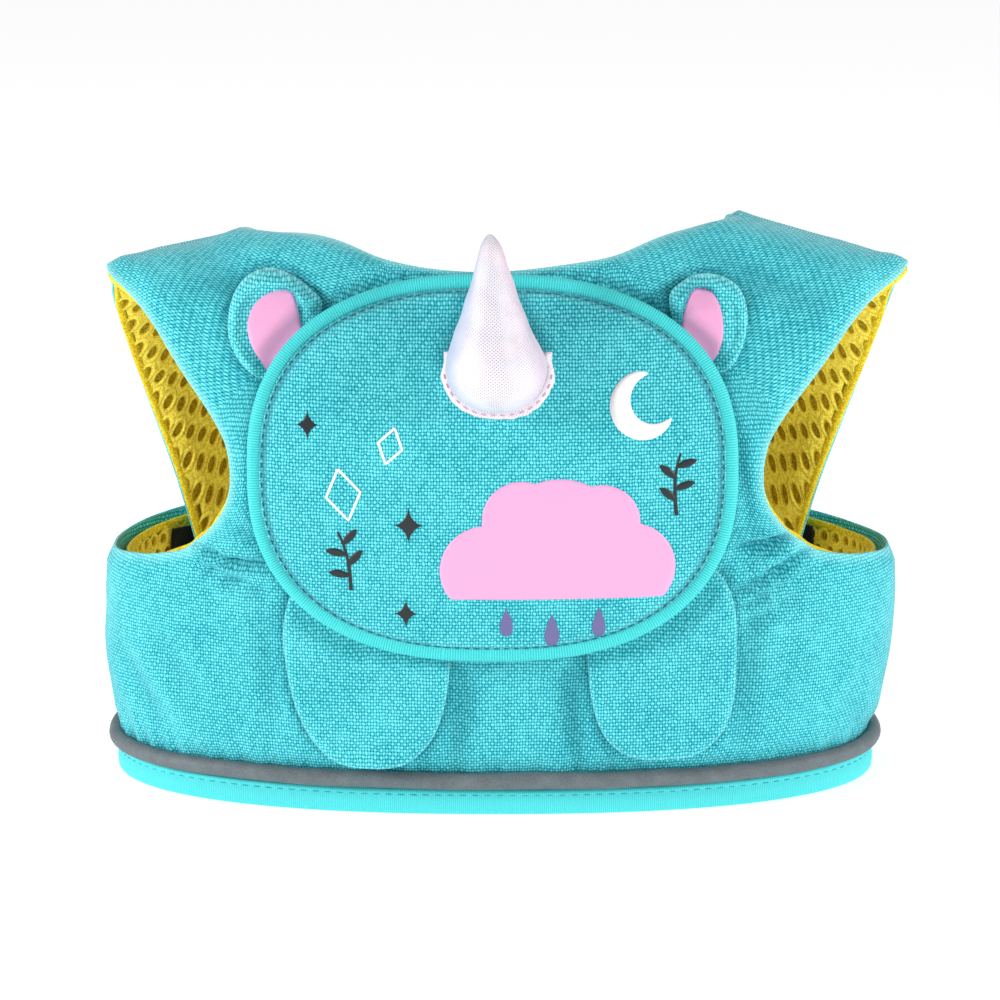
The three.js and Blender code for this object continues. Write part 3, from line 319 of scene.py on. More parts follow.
def vest_uv(points, cc, rr, stretch, spread):
    """Distances along the rows and the columns; stretch scales those up the bib, spread those over straps."""
    middle = len(cc) // 2
    along = np.concatenate([np.zeros((1, rr.shape[1])), np.linalg.norm(np.diff(points, axis=0), axis=-1)])
    u_row = np.cumsum(along, 0)
    u_row -= u_row[middle]
    level = u_row[:, LEVEL_ROW * PER_ROW][:, None]
    u = np.where(rr <= BAND_ROW, level, mix(level, u_row, smooth(BAND_ROW, BIB_ROW, rr)))
    top = BIB_ROW * PER_ROW
    for s in (-1, 1):
        centre = middle + s * int((NECK + BIB) / 2 * PER_COLUMN)
        drift = u[:, top] - (u_row[:, top] - u_row[centre, top]) - u[centre, top]
        fade = 1 - smooth(BIB_ROW, BIB_ROW + 3, rr)
        own = (u_row - u_row[centre]) * mix(1, spread, smooth(BIB_ROW + 1, CREST_ROW, rr))
        part = (rr > BIB_ROW) & (np.where(cc < 0, -1.0, 1.0) == s)
        u = np.where(part, own + u[centre, top] + drift[:, None] * fade, u)
    row = (rr[0, 1:] + rr[0, :-1]) / 2
    on_bib = smooth(BAND_ROW + 2, BIB_ROW - 1, row) * (1 - smooth(CREST_ROW, CREST_ROW + 4, row))
    steps = np.linalg.norm(np.diff(points, axis=1), axis=-1) * mix(1, stretch, on_bib)
    return u, np.cumsum(np.concatenate([np.zeros((len(cc), 1)), steps], 1), 1)


def vest_grid(inset, drop, stretch, spread):
    """Points, quads, UVs in millimetres and rows of the grid."""
    c = np.arange(-COLUMNS * PER_COLUMN, COLUMNS * PER_COLUMN + 1) / PER_COLUMN
    r = np.arange(0, END_ROW * PER_ROW + 1) / PER_ROW
    cc, rr = np.meshgrid(c, r, indexing="ij")
    points = vest_points(cc, rr, inset, drop)
    u, v = vest_uv(points, cc, rr, stretch, spread)
    a = np.abs(cc)
    valid = (rr <= BAND_ROW) | ((a <= BIB) & ((rr <= BIB_ROW) | (a >= NECK)))
    index = -np.ones(valid.shape, int)
    index[valid] = np.arange(valid.sum())
    quads = np.stack([index[:-1, :-1], index[1:, :-1], index[1:, 1:], index[:-1, 1:]], -1).reshape(-1, 4)
    quads = quads[(quads >= 0).all(1)]
    return points[valid], quads, np.stack([u[valid], v[valid]], -1), rr[valid]


def edges_of(quads):
    return np.concatenate([quads[:, [k, (k + 1) % 4]] for k in range(4)])


def open_edges(quads):
    """The sheet's boundary as next[vertex], in the quads' winding."""
    keys = {(int(p), int(q)) for p, q in edges_of(quads)}
    return {p: q for p, q in keys if (q, p) not in keys}


def relax(points, quads, following, rounds=8):
    """Evens out the creases between the grid's regions; the boundary only slides along itself."""
    edges = np.unique(np.sort(edges_of(quads), 1), axis=0)
    start = np.array(list(following.keys()))
    end = np.array(list(following.values()))
    on_edge = np.zeros(len(points), bool)
    on_edge[start] = True

    def mean_beside(p, i, j):
        total, count = np.zeros_like(p), np.zeros(len(p))
        for one, other in ((i, j), (j, i)):
            np.add.at(total, one, p[other])
            np.add.at(count, one, 1)
        return total / np.maximum(count, 1)[:, None]

    p = points.copy()
    for k in range(2 * rounds):
        target = mean_beside(p, edges[:, 0], edges[:, 1])
        target[on_edge] = mean_beside(p, start, end)[on_edge]
        p += (0.5 if k % 2 == 0 else -0.53) * (target - p)
    return p


def normals_of(points, quads):
    corners = [points[quads[:, k]] for k in range(4)]
    diagonal = np.cross(corners[2] - corners[0], corners[3] - corners[1])
    normals = np.zeros_like(points)
    for k in range(4):
        np.add.at(normals, quads[:, k], diagonal)
    return unit(normals)


def distance_to(points, targets):
    out = np.empty(len(points))
    for k in range(0, len(points), 2000):
        out[k : k + 2000] = np.sqrt(((points[k : k + 2000, None] - targets[None]) ** 2).sum(-1).min(1))
    return out


class Sheet:
    """The body's surface with its normals, distances to the edge and UVs."""

    def __init__(self, inset, drop, stretch=1.0, spread=1.0):
        points, self.quads, self.uv, self.rows = vest_grid(inset, drop, stretch, spread)
        self.next = open_edges(self.quads)
        self.points = relax(points, self.quads, self.next)
        x, y, z = self.points.T.copy()
        rise = sum(height * hill(x, place, wide) for height, place, wide in SWELLS)
        self.points[:, 2] += rise * smooth(140, 172, z) * (y < 20)
        tip = hill(np.abs(x), reach(x), TIP_ACROSS) * hill(y, 0, TIP_ALONG) * (z > 150)
        self.points[:, 2] += sided(x, *TIP_UP) * tip
        self.points[:, 0] += sided(x, *TIP_OUT) * tip
        self.normals = normals_of(self.points, self.quads)
        self.edge = distance_to(self.points, self.points[list(self.next)])

    def at(self, offset):
        return self.points + self.normals * np.broadcast_to(offset, len(self.points))[:, None]


RIM_STEPS = 6


def slab(sheet, outer, inner, bulge=1.0):
    """A closed solid between two offsets of a sheet, with a rounded rim. Returns points, faces and UVs."""
    n = len(sheet.points)
    top, low = sheet.at(outer), sheet.at(inner)
    start = np.array(list(sheet.next.keys()))
    after = np.array([sheet.next[int(k)] for k in start])
    before_of = {int(b): int(a) for a, b in sheet.next.items()}
    before = np.array([before_of[int(k)] for k in start])
    tangent = unit(sheet.points[after] - sheet.points[before])
    out = unit(np.cross(tangent, sheet.normals[start]))
    uv_tangent = unit(sheet.uv[after] - sheet.uv[before])
    uv_out = np.stack([uv_tangent[:, 1], -uv_tangent[:, 0]], -1)
    bulge = np.broadcast_to(bulge, n)[start][:, None]
    middle = (top[start] + low[start]) / 2
    half = (top[start] - low[start]) / 2
    size = np.linalg.norm(half, axis=1, keepdims=True)
    points, uvs = [top, low], [sheet.uv, sheet.uv]
    for k in range(1, RIM_STEPS):
        t = math.pi * k / RIM_STEPS
        points.append(middle + half * math.cos(t) + out * size * math.sin(t) * bulge)
        uvs.append(sheet.uv[start] + uv_out * size * t)
    ring = {int(k): i for i, k in enumerate(start)}

    def levels(ends, places):
        inner_rings = [2 * n + (k - 1) * len(start) + places for k in range(1, RIM_STEPS)]
        return [ends] + inner_rings + [n + ends]

    here = levels(start, np.arange(len(start)))
    onward = levels(after, np.array([ring[int(k)] for k in after]))
    faces = [sheet.quads, sheet.quads[:, ::-1] + n]
    for k in range(RIM_STEPS):
        faces.append(np.stack([onward[k], here[k], here[k + 1], onward[k + 1]], -1))
    return np.concatenate(points), np.concatenate(faces), np.concatenate(uvs)


# Meshes


def mesh(name, points, faces, material, slot, uv=None, attributes=None):
    """An object in the row frame from points in millimetres of the body's own frame."""
    data = bpy.data.meshes.new(name)
    place = (np.asarray(points, float) + SHIFT) * 0.001
    data.from_pydata(place.tolist(), [], [tuple(int(k) for k in f) for f in faces])
    data.update()
    if uv is not None:
        loops = np.empty(len(data.loops), np.int32)
        data.loops.foreach_get("vertex_index", loops)
        layer = data.uv_layers.new(name="UVMap")
        layer.data.foreach_set("uv", (np.asarray(uv, float)[loops] * 0.001).ravel())
    for key, values in (attributes or {}).items():
        data.attributes.new(key, "FLOAT", "POINT").data.foreach_set("value", np.asarray(values, np.float32))
    data.materials.append(material)
    data.polygons.foreach_set("use_smooth", [True] * len(data.polygons))
    obj = bpy.data.objects.new(name, data)
    bpy.context.scene.collection.objects.link(obj)
    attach(obj, "root")
    return obj


def tree_of(points, faces):
    return BVHTree.FromPolygons(points.tolist(), [tuple(int(k) for k in f) for f in faces])


def facing(x, z):
    """How much of the front's normal points forward, from 0 to 1."""
    step = 0.5
    slope_x = (front_y(x + step, z) - front_y(x - step, z)) / (2 * step)
    slope_z = (front_y(x, z + step) - front_y(x, z - step)) / (2 * step)
    return 1 / np.sqrt(1 + slope_x**2 + slope_z**2)


def ahead(x, z, gap):
    """Points that far in front of the body's surface."""
    x, z, gap = np.broadcast_arrays(np.asarray(x, float), z, gap)
    return np.stack([x, front_y(x, z) - gap / facing(x, z), z], -1)


def drape(trees, x, z, lift):
    """Points of the foremost surface at x and z, that far in front of it, and its normals."""
    places, normals = [], []
    lift = np.broadcast_to(lift, len(x))
    for px, pz, up in zip(x, z, lift):
        hits = [tree.ray_cast(Vector((px, -200, pz)), Vector((0, 1, 0))) for tree in trees]
        hits = [hit for hit in hits if hit[0] is not None]
        if hits:
            spot, normal = min(hits, key=lambda hit: hit[0].y)[:2]
        else:
            spot = Vector((px, float(front_y(np.float64(px), np.float64(pz))), pz))
            normal = Vector((0, -1, 0))
        if normal.y > 0:
            normal = -normal
        places.append(spot + normal * up)
        normals.append(normal)
    return np.array(places), np.array(normals)


def lofted(sections, caps=True):
    """Faces between rows of equally many points; sections is (rows, sides, 3)."""
    rows, sides = sections.shape[:2]
    index = np.arange(rows * sides).reshape(rows, sides)
    a, b = index[:-1], index[1:]
    faces = np.stack([a, np.roll(a, -1, 1), np.roll(b, -1, 1), b], -1).reshape(-1, 4).tolist()
    if caps:
        faces += [index[0][::-1].tolist(), index[-1].tolist()]
    return sections.reshape(-1, 3), faces


def tube(centre, first, second, sides, wide, tall, exponent=1.0):
    """Rows of points round a path, with its own width and height at each point of it."""
    turn = full_turn(sides)
    across = first[:, None] * (np.cos(turn)[None] * wide[:, None])[..., None]
    up = second[:, None] * (power(np.sin(turn), exponent)[None] * tall[:, None])[..., None]
    return centre[:, None] + across + up


def grid_uv(along, around):
    return np.stack(np.meshgrid(along, around, indexing="ij"), -1).reshape(-1, 2)


def closed(path):
    return np.concatenate([path, path[:1]])


def stitches(path, up, long, gap, radius, dip):
    """Points and faces of a line of stitches: each is a short thread that sinks in at both ends."""
    s = length_along(path)
    count = int(s[-1] / (long + gap))
    shape = np.linspace(-1, 1, 7)
    parts = []
    for k in range(count):
        at = (k + 0.5) * s[-1] / count + shape * long / 2
        centre = np.stack([np.interp(at, s, path[:, m]) for m in range(3)], -1)
        lift = unit(np.stack([np.interp(at, s, up[:, m]) for m in range(3)], -1))
        across = unit(np.cross(unit(np.gradient(centre, axis=0)), lift))
        centre = centre + lift * (-dip * shape**4)[:, None]
        size = radius * np.sqrt(np.clip(1.02 - shape**6, 0.05, 1))
        parts.append(lofted(tube(centre, across, lift, 6, size, size)))
    return join(parts)


def join(parts):
    """Points and faces of several closed forms in one."""
    points, faces, start = [], [], 0
    for part_points, part_faces in parts:
        points.append(np.asarray(part_points, float))
        faces += [[int(q) + start for q in f] for f in part_faces]
        start += len(part_points)
    return np.concatenate(points), faces


# Materials


def rgb(code):
    """A colour as it looks on screen, in the linear values that the shaders take."""
    channels = [((code >> s) & 255) / 255 for s in (16, 8, 0)]
    return tuple(c / 12.92 if c <= 0.04045 else ((c + 0.055) / 1.055) ** 2.4 for c in channels) + (1.0,)


class Look:
    """A material with short calls for its nodes."""

    def __init__(self, name, roughness, sheen=0.0, specular=0.15):
        self.material = bpy.data.materials.new(name)
        self.material.use_nodes = True
        self.tree = self.material.node_tree
        self.shader = self.tree.nodes["Principled BSDF"]
        self.shader.inputs["Roughness"].default_value = roughness
        self.shader.inputs["Specular IOR Level"].default_value = specular
        self.shader.inputs["Sheen Weight"].default_value = sheen
        self.shader.inputs["Sheen Roughness"].default_value = 0.3
        self.heights = []

    def add(self, kind, **values):
        node = self.tree.nodes.new(kind)
        for key, value in values.items():
            setattr(node, key, value)
        return node

    def put(self, socket, value):
        if isinstance(value, bpy.types.NodeSocket):
            self.tree.links.new(value, socket)
        else:
            socket.default_value = rgb(value) if isinstance(value, int) else value

    def math(self, operation, a, b=0.0, clamp=False):
        node = self.add("ShaderNodeMath", operation=operation, use_clamp=clamp)
        self.put(node.inputs[0], a)
        self.put(node.inputs[1], b)
        return node.outputs[0]

    def times(self, a, b, clamp=False):
        return self.math("MULTIPLY", a, b, clamp)

    def plus(self, a, b, clamp=False):
        return self.math("ADD", a, b, clamp)

    def minus(self, a, b):
        return self.math("SUBTRACT", a, b)

    def mixed(self, share, a, b):
        """A colour between two, each a socket, a code or four values."""
        node = self.add("ShaderNodeMix", data_type="RGBA")
        self.put(node.inputs[0], share)
        self.put(node.inputs[6], a)
        self.put(node.inputs[7], b)
        return node.outputs[2]

    def blend(self, share, a, b):
        """A value between two."""
        node = self.add("ShaderNodeMix", data_type="FLOAT")
        self.put(node.inputs[0], share)
        self.put(node.inputs[2], a)
        self.put(node.inputs[3], b)
        return node.outputs[0]

    def uv(self):
        node = self.add("ShaderNodeSeparateXYZ")
        self.put(node.inputs[0], self.add("ShaderNodeUVMap", uv_map="UVMap").outputs[0])
        return node.outputs[0], node.outputs[1]

    def place(self):
        return self.add("ShaderNodeTexCoord").outputs["Object"]

    def noise(self, size, detail=2.0):
        """Noise from 0 to 1 with features of that size in millimetres."""
        node = self.add("ShaderNodeTexNoise")
        self.put(node.inputs["Vector"], self.place())
        node.inputs["Scale"].default_value = 1 / (size * 0.001)
        node.inputs["Detail"].default_value = detail
        return node.outputs[0]

    def uneven(self, size, detail, strength):
        """Noise about 0, that strong."""
        return self.times(self.minus(self.noise(size, detail), 0.5), strength)

    def ramp(self, value, low, high):
        node = self.add("ShaderNodeMapRange")
        self.put(node.inputs[0], value)
        node.inputs[1].default_value = low
        node.inputs[2].default_value = high
        return node.outputs[0]

    def attribute(self, name):
        return self.add("ShaderNodeAttribute", attribute_name=name).outputs["Fac"]

    def bump(self, height, deep):
        """deep is how far in millimetres a height of 1 stands out."""
        self.heights.append((height, deep))

    def done(self, colour):
        self.put(self.shader.inputs["Base Color"], colour)
        normal = None
        for height, deep in self.heights:
            node = self.add("ShaderNodeBump")
            node.inputs["Distance"].default_value = deep * 0.001
            self.put(node.inputs["Height"], height)
            if normal is not None:
                self.put(node.inputs["Normal"], normal)
            normal = node.outputs[0]
        if normal is not None:
            self.put(self.shader.inputs["Normal"], normal)
        return self.material


WARP_PITCH, WEFT_PITCH = 0.92, 1.16 * 0.92  # millimetres between the weave's threads
# Colours of the painted highlight along edges and of the painted shade in crevices, grooves and folds
EDGE_HIGHLIGHT_COLOUR, DEEP_SHADE = 0xA6F3F4, 0x0B6C80


def weave(name, light, dark, gap):
    """A two-tone plain weave: one set of threads is lighter than the other."""
    look = Look(name, 0.85, 0.42)
    u, v = look.uv()
    wander = look.uneven(2.6, 1.0, 0.9)
    u = look.plus(look.times(u, 1000 / WARP_PITCH), wander)
    v = look.plus(look.times(v, 1000 / WEFT_PITCH), look.times(wander, -0.8))
    cell_u, cell_v = look.math("FLOOR", u), look.math("FLOOR", v)
    odd = look.math("FLOORED_MODULO", look.plus(cell_u, cell_v), 2.0)

    def squared(value, cell):
        """0 in the cell's middle and 1 at both its sides."""
        across = look.minus(look.times(look.minus(value, cell), 2.0), 1.0)
        return look.times(across, across)

    def thread(across, along):
        side = look.minus(1.0, look.times(across, 0.42))
        return look.times(side, look.minus(1.0, look.times(along, 0.3)))

    fu, fv = squared(u, cell_u), squared(v, cell_v)
    corner = look.ramp(look.times(fu, fv), 0.1, 0.6)
    height = look.blend(odd, thread(fv, fu), look.times(thread(fu, fv), 0.78))
    height = look.times(height, look.minus(1.0, look.times(corner, 0.85)))
    random = look.add("ShaderNodeTexWhiteNoise", noise_dimensions="2D")
    cell = look.add("ShaderNodeCombineXYZ")
    look.put(cell.inputs[0], cell_u)
    look.put(cell.inputs[1], cell_v)
    look.put(random.inputs["Vector"], cell.outputs[0])
    tone = look.times(look.minus(random.outputs[0], 0.5), 0.18)
    lit = look.plus(height, look.plus(tone, look.uneven(16.0, 3.0, 0.24)))
    # The colour follows the threads' height: painted highlight on their crowns, painted shade in the gaps and
    # corners between them
    top = look.mixed(look.ramp(lit, 0.56, 0.92), dark, light)
    colour = look.mixed(look.ramp(lit, 0.1, 0.6), gap, top)
    # Painted highlight where the rim attribute is set, and painted shade where the shade attribute is set
    colour = look.mixed(look.times(look.attribute("rim"), 0.5), colour, EDGE_HIGHLIGHT_COLOUR)
    colour = look.mixed(look.times(look.attribute("shade"), 0.6, clamp=True), colour, DEEP_SHADE)
    look.bump(height, 0.16)
    look.bump(look.noise(9.0, 3.0), 0.35)
    return look.done(colour)


def ribbed(name, light, dark, pitch, deep, roughness=0.65, twill=0.0):
    """A narrow tape with fine ribs across its length, which is U."""
    look = Look(name, roughness, 0.15)
    u, v = look.uv()
    if twill:
        u = look.plus(u, look.times(v, twill))
    wave = look.math("SINE", look.times(u, 2 * math.pi * 1000 / pitch))
    height = look.plus(look.times(wave, 0.5), 0.5)
    # The colour follows the ribs' height, with random specks: painted highlight on the ribs, painted shade in
    # the troughs between them
    mixture = look.plus(look.times(height, 0.65), look.times(look.noise(0.6), 0.5), clamp=True)
    look.bump(height, deep)
    look.bump(look.noise(6.0), 0.25)
    return look.done(look.mixed(mixture, dark, light))


def mesh_knit(name, light, dark, margin=None):
    """Knitted yarn. With margin colours, it turns to them where the attribute of that name is 1."""
    look = Look(name, 0.6, 0.1)
    fine, coarse = look.noise(0.6), look.noise(2.4)
    amount = look.times(look.ramp(fine, 0.38, 0.62), 0.8)
    amount = look.plus(amount, look.times(look.ramp(coarse, 0.3, 0.7), 0.3), clamp=True)
    if not margin:
        amount = look.plus(look.times(amount, 0.8), 0.3)
        # The tone attribute scales the yarn's colour: painted highlight on the lattice's raised rims and
        # painted shade down in its holes
        amount = look.times(amount, look.attribute("tone"), clamp=True)
    colour = look.mixed(amount, dark, light)
    if margin:
        colour = look.mixed(look.attribute("margin"), colour, look.mixed(amount, margin[1], margin[0]))
    look.bump(fine, 0.35)
    return look.done(colour)


NET_PITCH = 1.05


def satin(name):
    """Pearly net over satin: white down the middle; towards the sides painted shade with a painted lilac and
    pink sheen.
    """
    look = Look(name, 0.36, 0.3, 0.5)
    across = look.attribute("across")
    away = look.math("ABSOLUTE", across)
    side = look.math("POWER", away, 2.2)
    tint = look.mixed(look.ramp(look.noise(7.0, 3.0), 0.35, 0.65), 0xF8E8EF, 0xEAE6F4)
    deep = look.mixed(look.ramp(across, -1.0, 1.0), 0xC9CFE6, 0xEBD2E2)
    colour = look.mixed(look.ramp(side, 0.1, 0.9), look.mixed(0.5, 0xF4F1F6, tint), deep)
    net = look.times(*(look.math("SINE", look.times(at, 2 * math.pi * 1000 / NET_PITCH)) for at in look.uv()))
    patches = look.plus(look.ramp(look.noise(9.0, 3.0), 0.35, 0.7), look.ramp(away, 0.35, 0.05), clamp=True)
    colour = look.mixed(look.times(look.ramp(net, 0.2, 0.9), patches), colour, 0x9F94A8)
    look.bump(net, 0.06)
    look.bump(look.noise(3.0), 0.3)
    look.shader.inputs["Coat Weight"].default_value = 0.15
    look.shader.inputs["Coat Roughness"].default_value = 0.3
    return look.done(colour)


def plain(name, code, roughness, grain, deep, specular=0.4, change=0.06):
    """One colour, a little darker in grains of that size."""
    look = Look(name, roughness, 0.0, specular)
    speck = look.noise(grain, 3.0)
    base = rgb(code)
    darker = tuple(c * (1 - 2 * change) for c in base[:3]) + (1.0,)
    look.bump(speck, deep)
    return look.done(look.mixed(speck, darker, base))


def retroreflective(name):
    """Grey cloth under fine glass beads."""
    look = Look(name, 0.62, 0.0, 0.3)
    beads = look.add("ShaderNodeTexVoronoi")
    look.put(beads.inputs["Vector"], look.place())
    beads.inputs["Scale"].default_value = 1 / 0.0004
    # Painted glint: the beads' centres are coloured lighter
    bead_glint = look.ramp(beads.outputs["Distance"], 0.75, 0.1)
    wear = look.ramp(look.noise(5.0, 4.0), 0.4, 0.75)
    colour = look.mixed(look.times(bead_glint, 0.3), look.mixed(wear, 0x62696D, 0x71787B), 0x95A0A4)
    look.bump(beads.outputs["Distance"], 0.02)
    look.bump(look.noise(4.0, 3.0), 0.25)
    look.shader.inputs["Metallic"].default_value = 0.15
    return look.done(colour)


def glowing(material, strength):
    """The same material, that gives off some white light."""
    shader = material.node_tree.nodes["Principled BSDF"]
    shader.inputs["Emission Color"].default_value = (1, 1, 1, 1)
    shader.inputs["Emission Strength"].default_value = strength
    return material


CLOTH = weave("cover_weave", 0x74EBF1, 0x2AAEBF, 0x0A6A7A)
# The cover's weave in lighter colours for the ears: painted light that brightens them
EAR_CLOTH_PAINTED_LIGHTER = weave("ear_weave_painted_lighter", 0x86F5F9, 0x3CC2D0, 0x117683)
TAPE = ribbed("flap_tape", 0x5CEBEA, 0x22B1B9, 0.8, 0.07, roughness=0.45)
HEM_TAPE = ribbed("hem_tape", 0x66E8EA, 0x3ACACF, 0.62, 0.07)
KNIT = mesh_knit("spacer_mesh", 0xFFF260, 0xD0A410)
# The backing has the yarn's yellow at its margin and darker olive under the lattice: painted shade at the
# bottom of the holes
KNIT_BACK_SHADED = mesh_knit("spacer_mesh_back", 0xC4A61C, 0x84761A, margin=(0xFFEA3A, 0xD0AC14))
SATIN = satin("pearl_satin")
REFLECT = retroreflective("reflective_piping")
THREAD = plain("thread", 0x38AAB6, 0.7, 0.25, 0.05)
THREAD_DARK = plain("thread_dark", 0x14707F, 0.7, 0.25, 0.05)
THREAD_PINK = plain("thread_pink", 0xE9B7CB, 0.6, 0.25, 0.05)
PINK = plain("pink_print", 0xF7ADD8, 0.45, 0.8, 0.02, change=0.015)
WHITE_PRINT = plain("white_print", 0xFBFBFD, 0.45, 0.8, 0.02, change=0.01)
BLACK_PRINT = plain("black_print", 0x23282B, 0.4, 0.8, 0.02)
PLUM_PRINT = plain("plum_print", 0x6E6A9E, 0.45, 0.8, 0.02, change=0.02)
WEBBING = ribbed("belt_webbing", 0x2A2D31, 0x0B0C0E, 1.1, 0.22, twill=1.0, roughness=0.75)
PLASTIC = plain("buckle_plastic", 0x17191C, 0.38, 0.35, 0.02)
FLOOR = glowing(plain("floor", 0xF6F6F6, 0.9, 40.0, 0.0, 0.1, change=0.003), 0.5)


# The padded cover

FOLD_STRENGTH = 1.7
FOLDS = [
    # end x, z, other end x, z, half width, depth
    (-98, 84.5, -82, 79.5, 2.0, 2.3),
    (-86, 79.5, -64, 79.5, 1.9, 2.0),
    (-94, 78, -73, 71, 2.3, 1.4),
    (-80, 92, -70, 84, 3.2, 0.8),
    (99, 88, 76, 84.5, 2.3, 3.2),
    (102, 83, 86, 76, 2.6, 2.3),
    (90, 77, 74, 70, 2.4, 1.8),
    (100, 77, 78, 66, 2.4, 1.5),
    (96, 70, 80, 60, 2.6, 1.0),
    (80, 68, 76, 22, 5.2, 0.8),
    (-72, 66, -69, 26, 5.2, 0.6),
    (-12, 46, -14, 20, 4.6, 0.7),
    (24, 50, 26, 18, 4.6, 0.9),
    (86, 120, 97, 112, 3.6, 1.1),
    (74, 118, 79, 96, 3.4, 0.9),
    (-120, 44, -106, 22, 5.4, 0.9),
    (-112, 58, -96, 34, 6.0, 0.7),
    (112, 30, 120, 16, 4.6, 0.4),
    (-60, 160, -92, 168, 7.0, 1.0),
    (64, 174, 100, 160, 6.0, 1.0),
]


def fold_relief(points):
    """Valleys with raised sides along the folds, on the front alone."""
    total = np.zeros(len(points))
    place = points[:, [0, 2]]
    for ax, az, bx, bz, spread, depth in FOLDS:
        a, b = np.array([ax, az], float), np.array([bx, bz], float)
        along = b - a
        share = np.clip(((place - a) @ along) / (along @ along), 0, 1)
        offset = place - (a + share[:, None] * along)
        side = (offset[:, 0] * along[1] - offset[:, 1] * along[0]) / np.linalg.norm(along)
        away = np.linalg.norm(offset, axis=1) / spread
        fade = 0.35 + 0.65 * np.sin(np.clip(share, 0.02, 0.98) * math.pi) ** 0.6
        valley = np.exp(-(away**2) * 1.6)
        banks = np.exp(-((np.abs(side) / spread - 1.35) ** 2) * 2.2) * (away < 2.6)
        total += FOLD_STRENGTH * depth * fade * (0.42 * banks - valley)
    return np.where(points[:, 1] < 5, total, 0)


GATHER_PITCH = 8.2


def pucker_relief(sheet):
    """Small gathers where the cover meets the piping, stronger on the left."""
    z = sheet.points[:, 2]
    u = sheet.uv[:, 0]
    line = np.stack([u, np.zeros_like(u), z * 0.25], -1)
    wander = noise_at(line, 17.0, 3)
    strength = 0.45 + 0.55 * noise_at(line, 33.0, 5) + 0.35 * smooth(-40, -110, sheet.points[:, 0])
    fade = np.exp(-np.clip(z - 15, 0, None) / 8.0) * smooth(9, 14, z)
    wave = np.sin(2 * math.pi * (u / GATHER_PITCH + 0.9 * wander))
    return np.clip(strength, 0, 1.2) * fade * 0.75 * wave


def inside(points, outline):
    """Which points lie inside a closed outline, both in x and z."""
    found = np.zeros(len(points), bool)
    for (ax, az), (bx, bz) in zip(outline, np.roll(outline, -1, 0)):
        if az == bz:
            continue
        crosses = (az > points[:, 1]) != (bz > points[:, 1])
        at = ax + (points[:, 1] - az) * (bx - ax) / (bz - az)
        found ^= crosses & (points[:, 0] < at)
    return found


def pads_beside(points):
    """Distances to the outlines of the ears and legs and of the flap, and what lies under them."""
    near, tape = np.full(len(points), 99.0), np.full(len(points), 99.0)
    under = np.zeros(len(points), bool)
    front = points[:, 1] < 0
    flat = points[front][:, [0, 2]]
    for outline in [ear_outline(k) for k in EAR_OUTLINES] + [leg_outline(k) for k in LEG_X]:
        near[front] = np.minimum(near[front], distance_to(flat, outline))
        under[front] |= inside(flat, outline)
    turn = np.linspace(0, 2 * math.pi, 181)[:-1]
    under[front] |= inside(flat, np.stack(flap_outline(turn, 0.0), -1))
    tape[front] = distance_to(flat, np.stack(flap_outline(even_turns(400, 0.0), 0.0), -1))
    return near, under, tape


COVER_BIB_STRETCH, STITCH_PITCH = 0.72, 3.4
COVER_ROLL, SHOULDER_FILL = 1.9, 1.1  # how far the edges roll in, and how much fuller the shoulders are
PEAK_X, PEAK_RISE = 76.5, 2.6  # the right shoulder's raised inner corner
HEM_SEAM, HEM_TUCK = 12.0, 3.2  # up to where the cover's inside lies at least that deep, under the tape
PAD_GROOVE, GROOVE_HALF = 1.2, 1.5  # the dip along the ears' and legs' outlines


def build_cover():
    sheet = Sheet(0.0, 0.0, COVER_BIB_STRETCH)
    edge = sheet.edge
    x, y, z = sheet.points.T
    near, under, tape = pads_beside(sheet.points)
    folds = fold_relief(sheet.points)
    outer = 0.1 - COVER_ROLL * (1 - smooth(0.0, 7.0, edge)) ** 2
    outer += SHOULDER_FILL * smooth(140, 168, z) * smooth(0, 8, edge)
    outer += folds * smooth(0, 6, edge)
    outer += PEAK_RISE * hill(x, PEAK_X, 2.6) * hill(y, 0, 5.0) * (z > 165)
    outer += pucker_relief(sheet)
    broad = noise_at(sheet.points, 34.0, 1) * 0.8 + noise_at(sheet.points, 15.0, 2) * 0.4
    outer += broad * smooth(0, 10, edge)
    outer = np.where(under, np.minimum(outer, -0.2), outer) - PAD_GROOVE * hill(near, 0, GROOVE_HALF)
    scallop = np.sin(2 * math.pi * (sheet.uv[:, 0] + sheet.uv[:, 1]) / STITCH_PITCH)
    outer += 0.10 * scallop * hill(edge, 2.0, 1.2)
    inner = -WALL + COVER_ROLL * (1 - smooth(0.0, 6.0, edge)) ** 2
    inner = np.where(z < HEM_SEAM, np.minimum(inner, -HEM_TUCK), inner)
    points, faces, uv = slab(sheet, outer, inner)
    # The edges above the waist get a painted highlight; painted shade lies along the ears', legs' and flap's
    # outlines, in the folds and at the piping's foot
    edge_highlight = smooth(60, 90, z)
    rim = np.repeat(edge_highlight[list(sheet.next)][None], RIM_STEPS - 1, 0).ravel()
    shade = 1.0 * hill(near, 0, 0.9) + 1.0 * hill(tape, 0, 1.1)
    shade += 0.62 * np.clip(-folds / 2.0, 0, 1) ** 1.5 + 0.7 * hill(z, 12.5, 2.2)
    none = np.zeros(len(z))
    attributes = {
        "rim": np.concatenate([hill(edge, 0, 1.3) * edge_highlight, none, rim]),
        "shade": np.concatenate([np.clip(shade, 0, 1), none, 0 * rim]),
    }
    obj = mesh("cover_cloth", points, faces, CLOTH, "cover", uv, attributes)
    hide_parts("cover")


# The lining: a real lattice of hexagonal holes over a thin backing

LINING_INSET, LINING_DROP, LINING_SPREAD = 0.3, 1.8, 0.7
CELL_PITCH, CELL_SIDES = 5.8, 12
CELL_START, CELL_OVERHANG = 1.0, 1.2  # the first row's height, and how far off the sheet a cell may lie
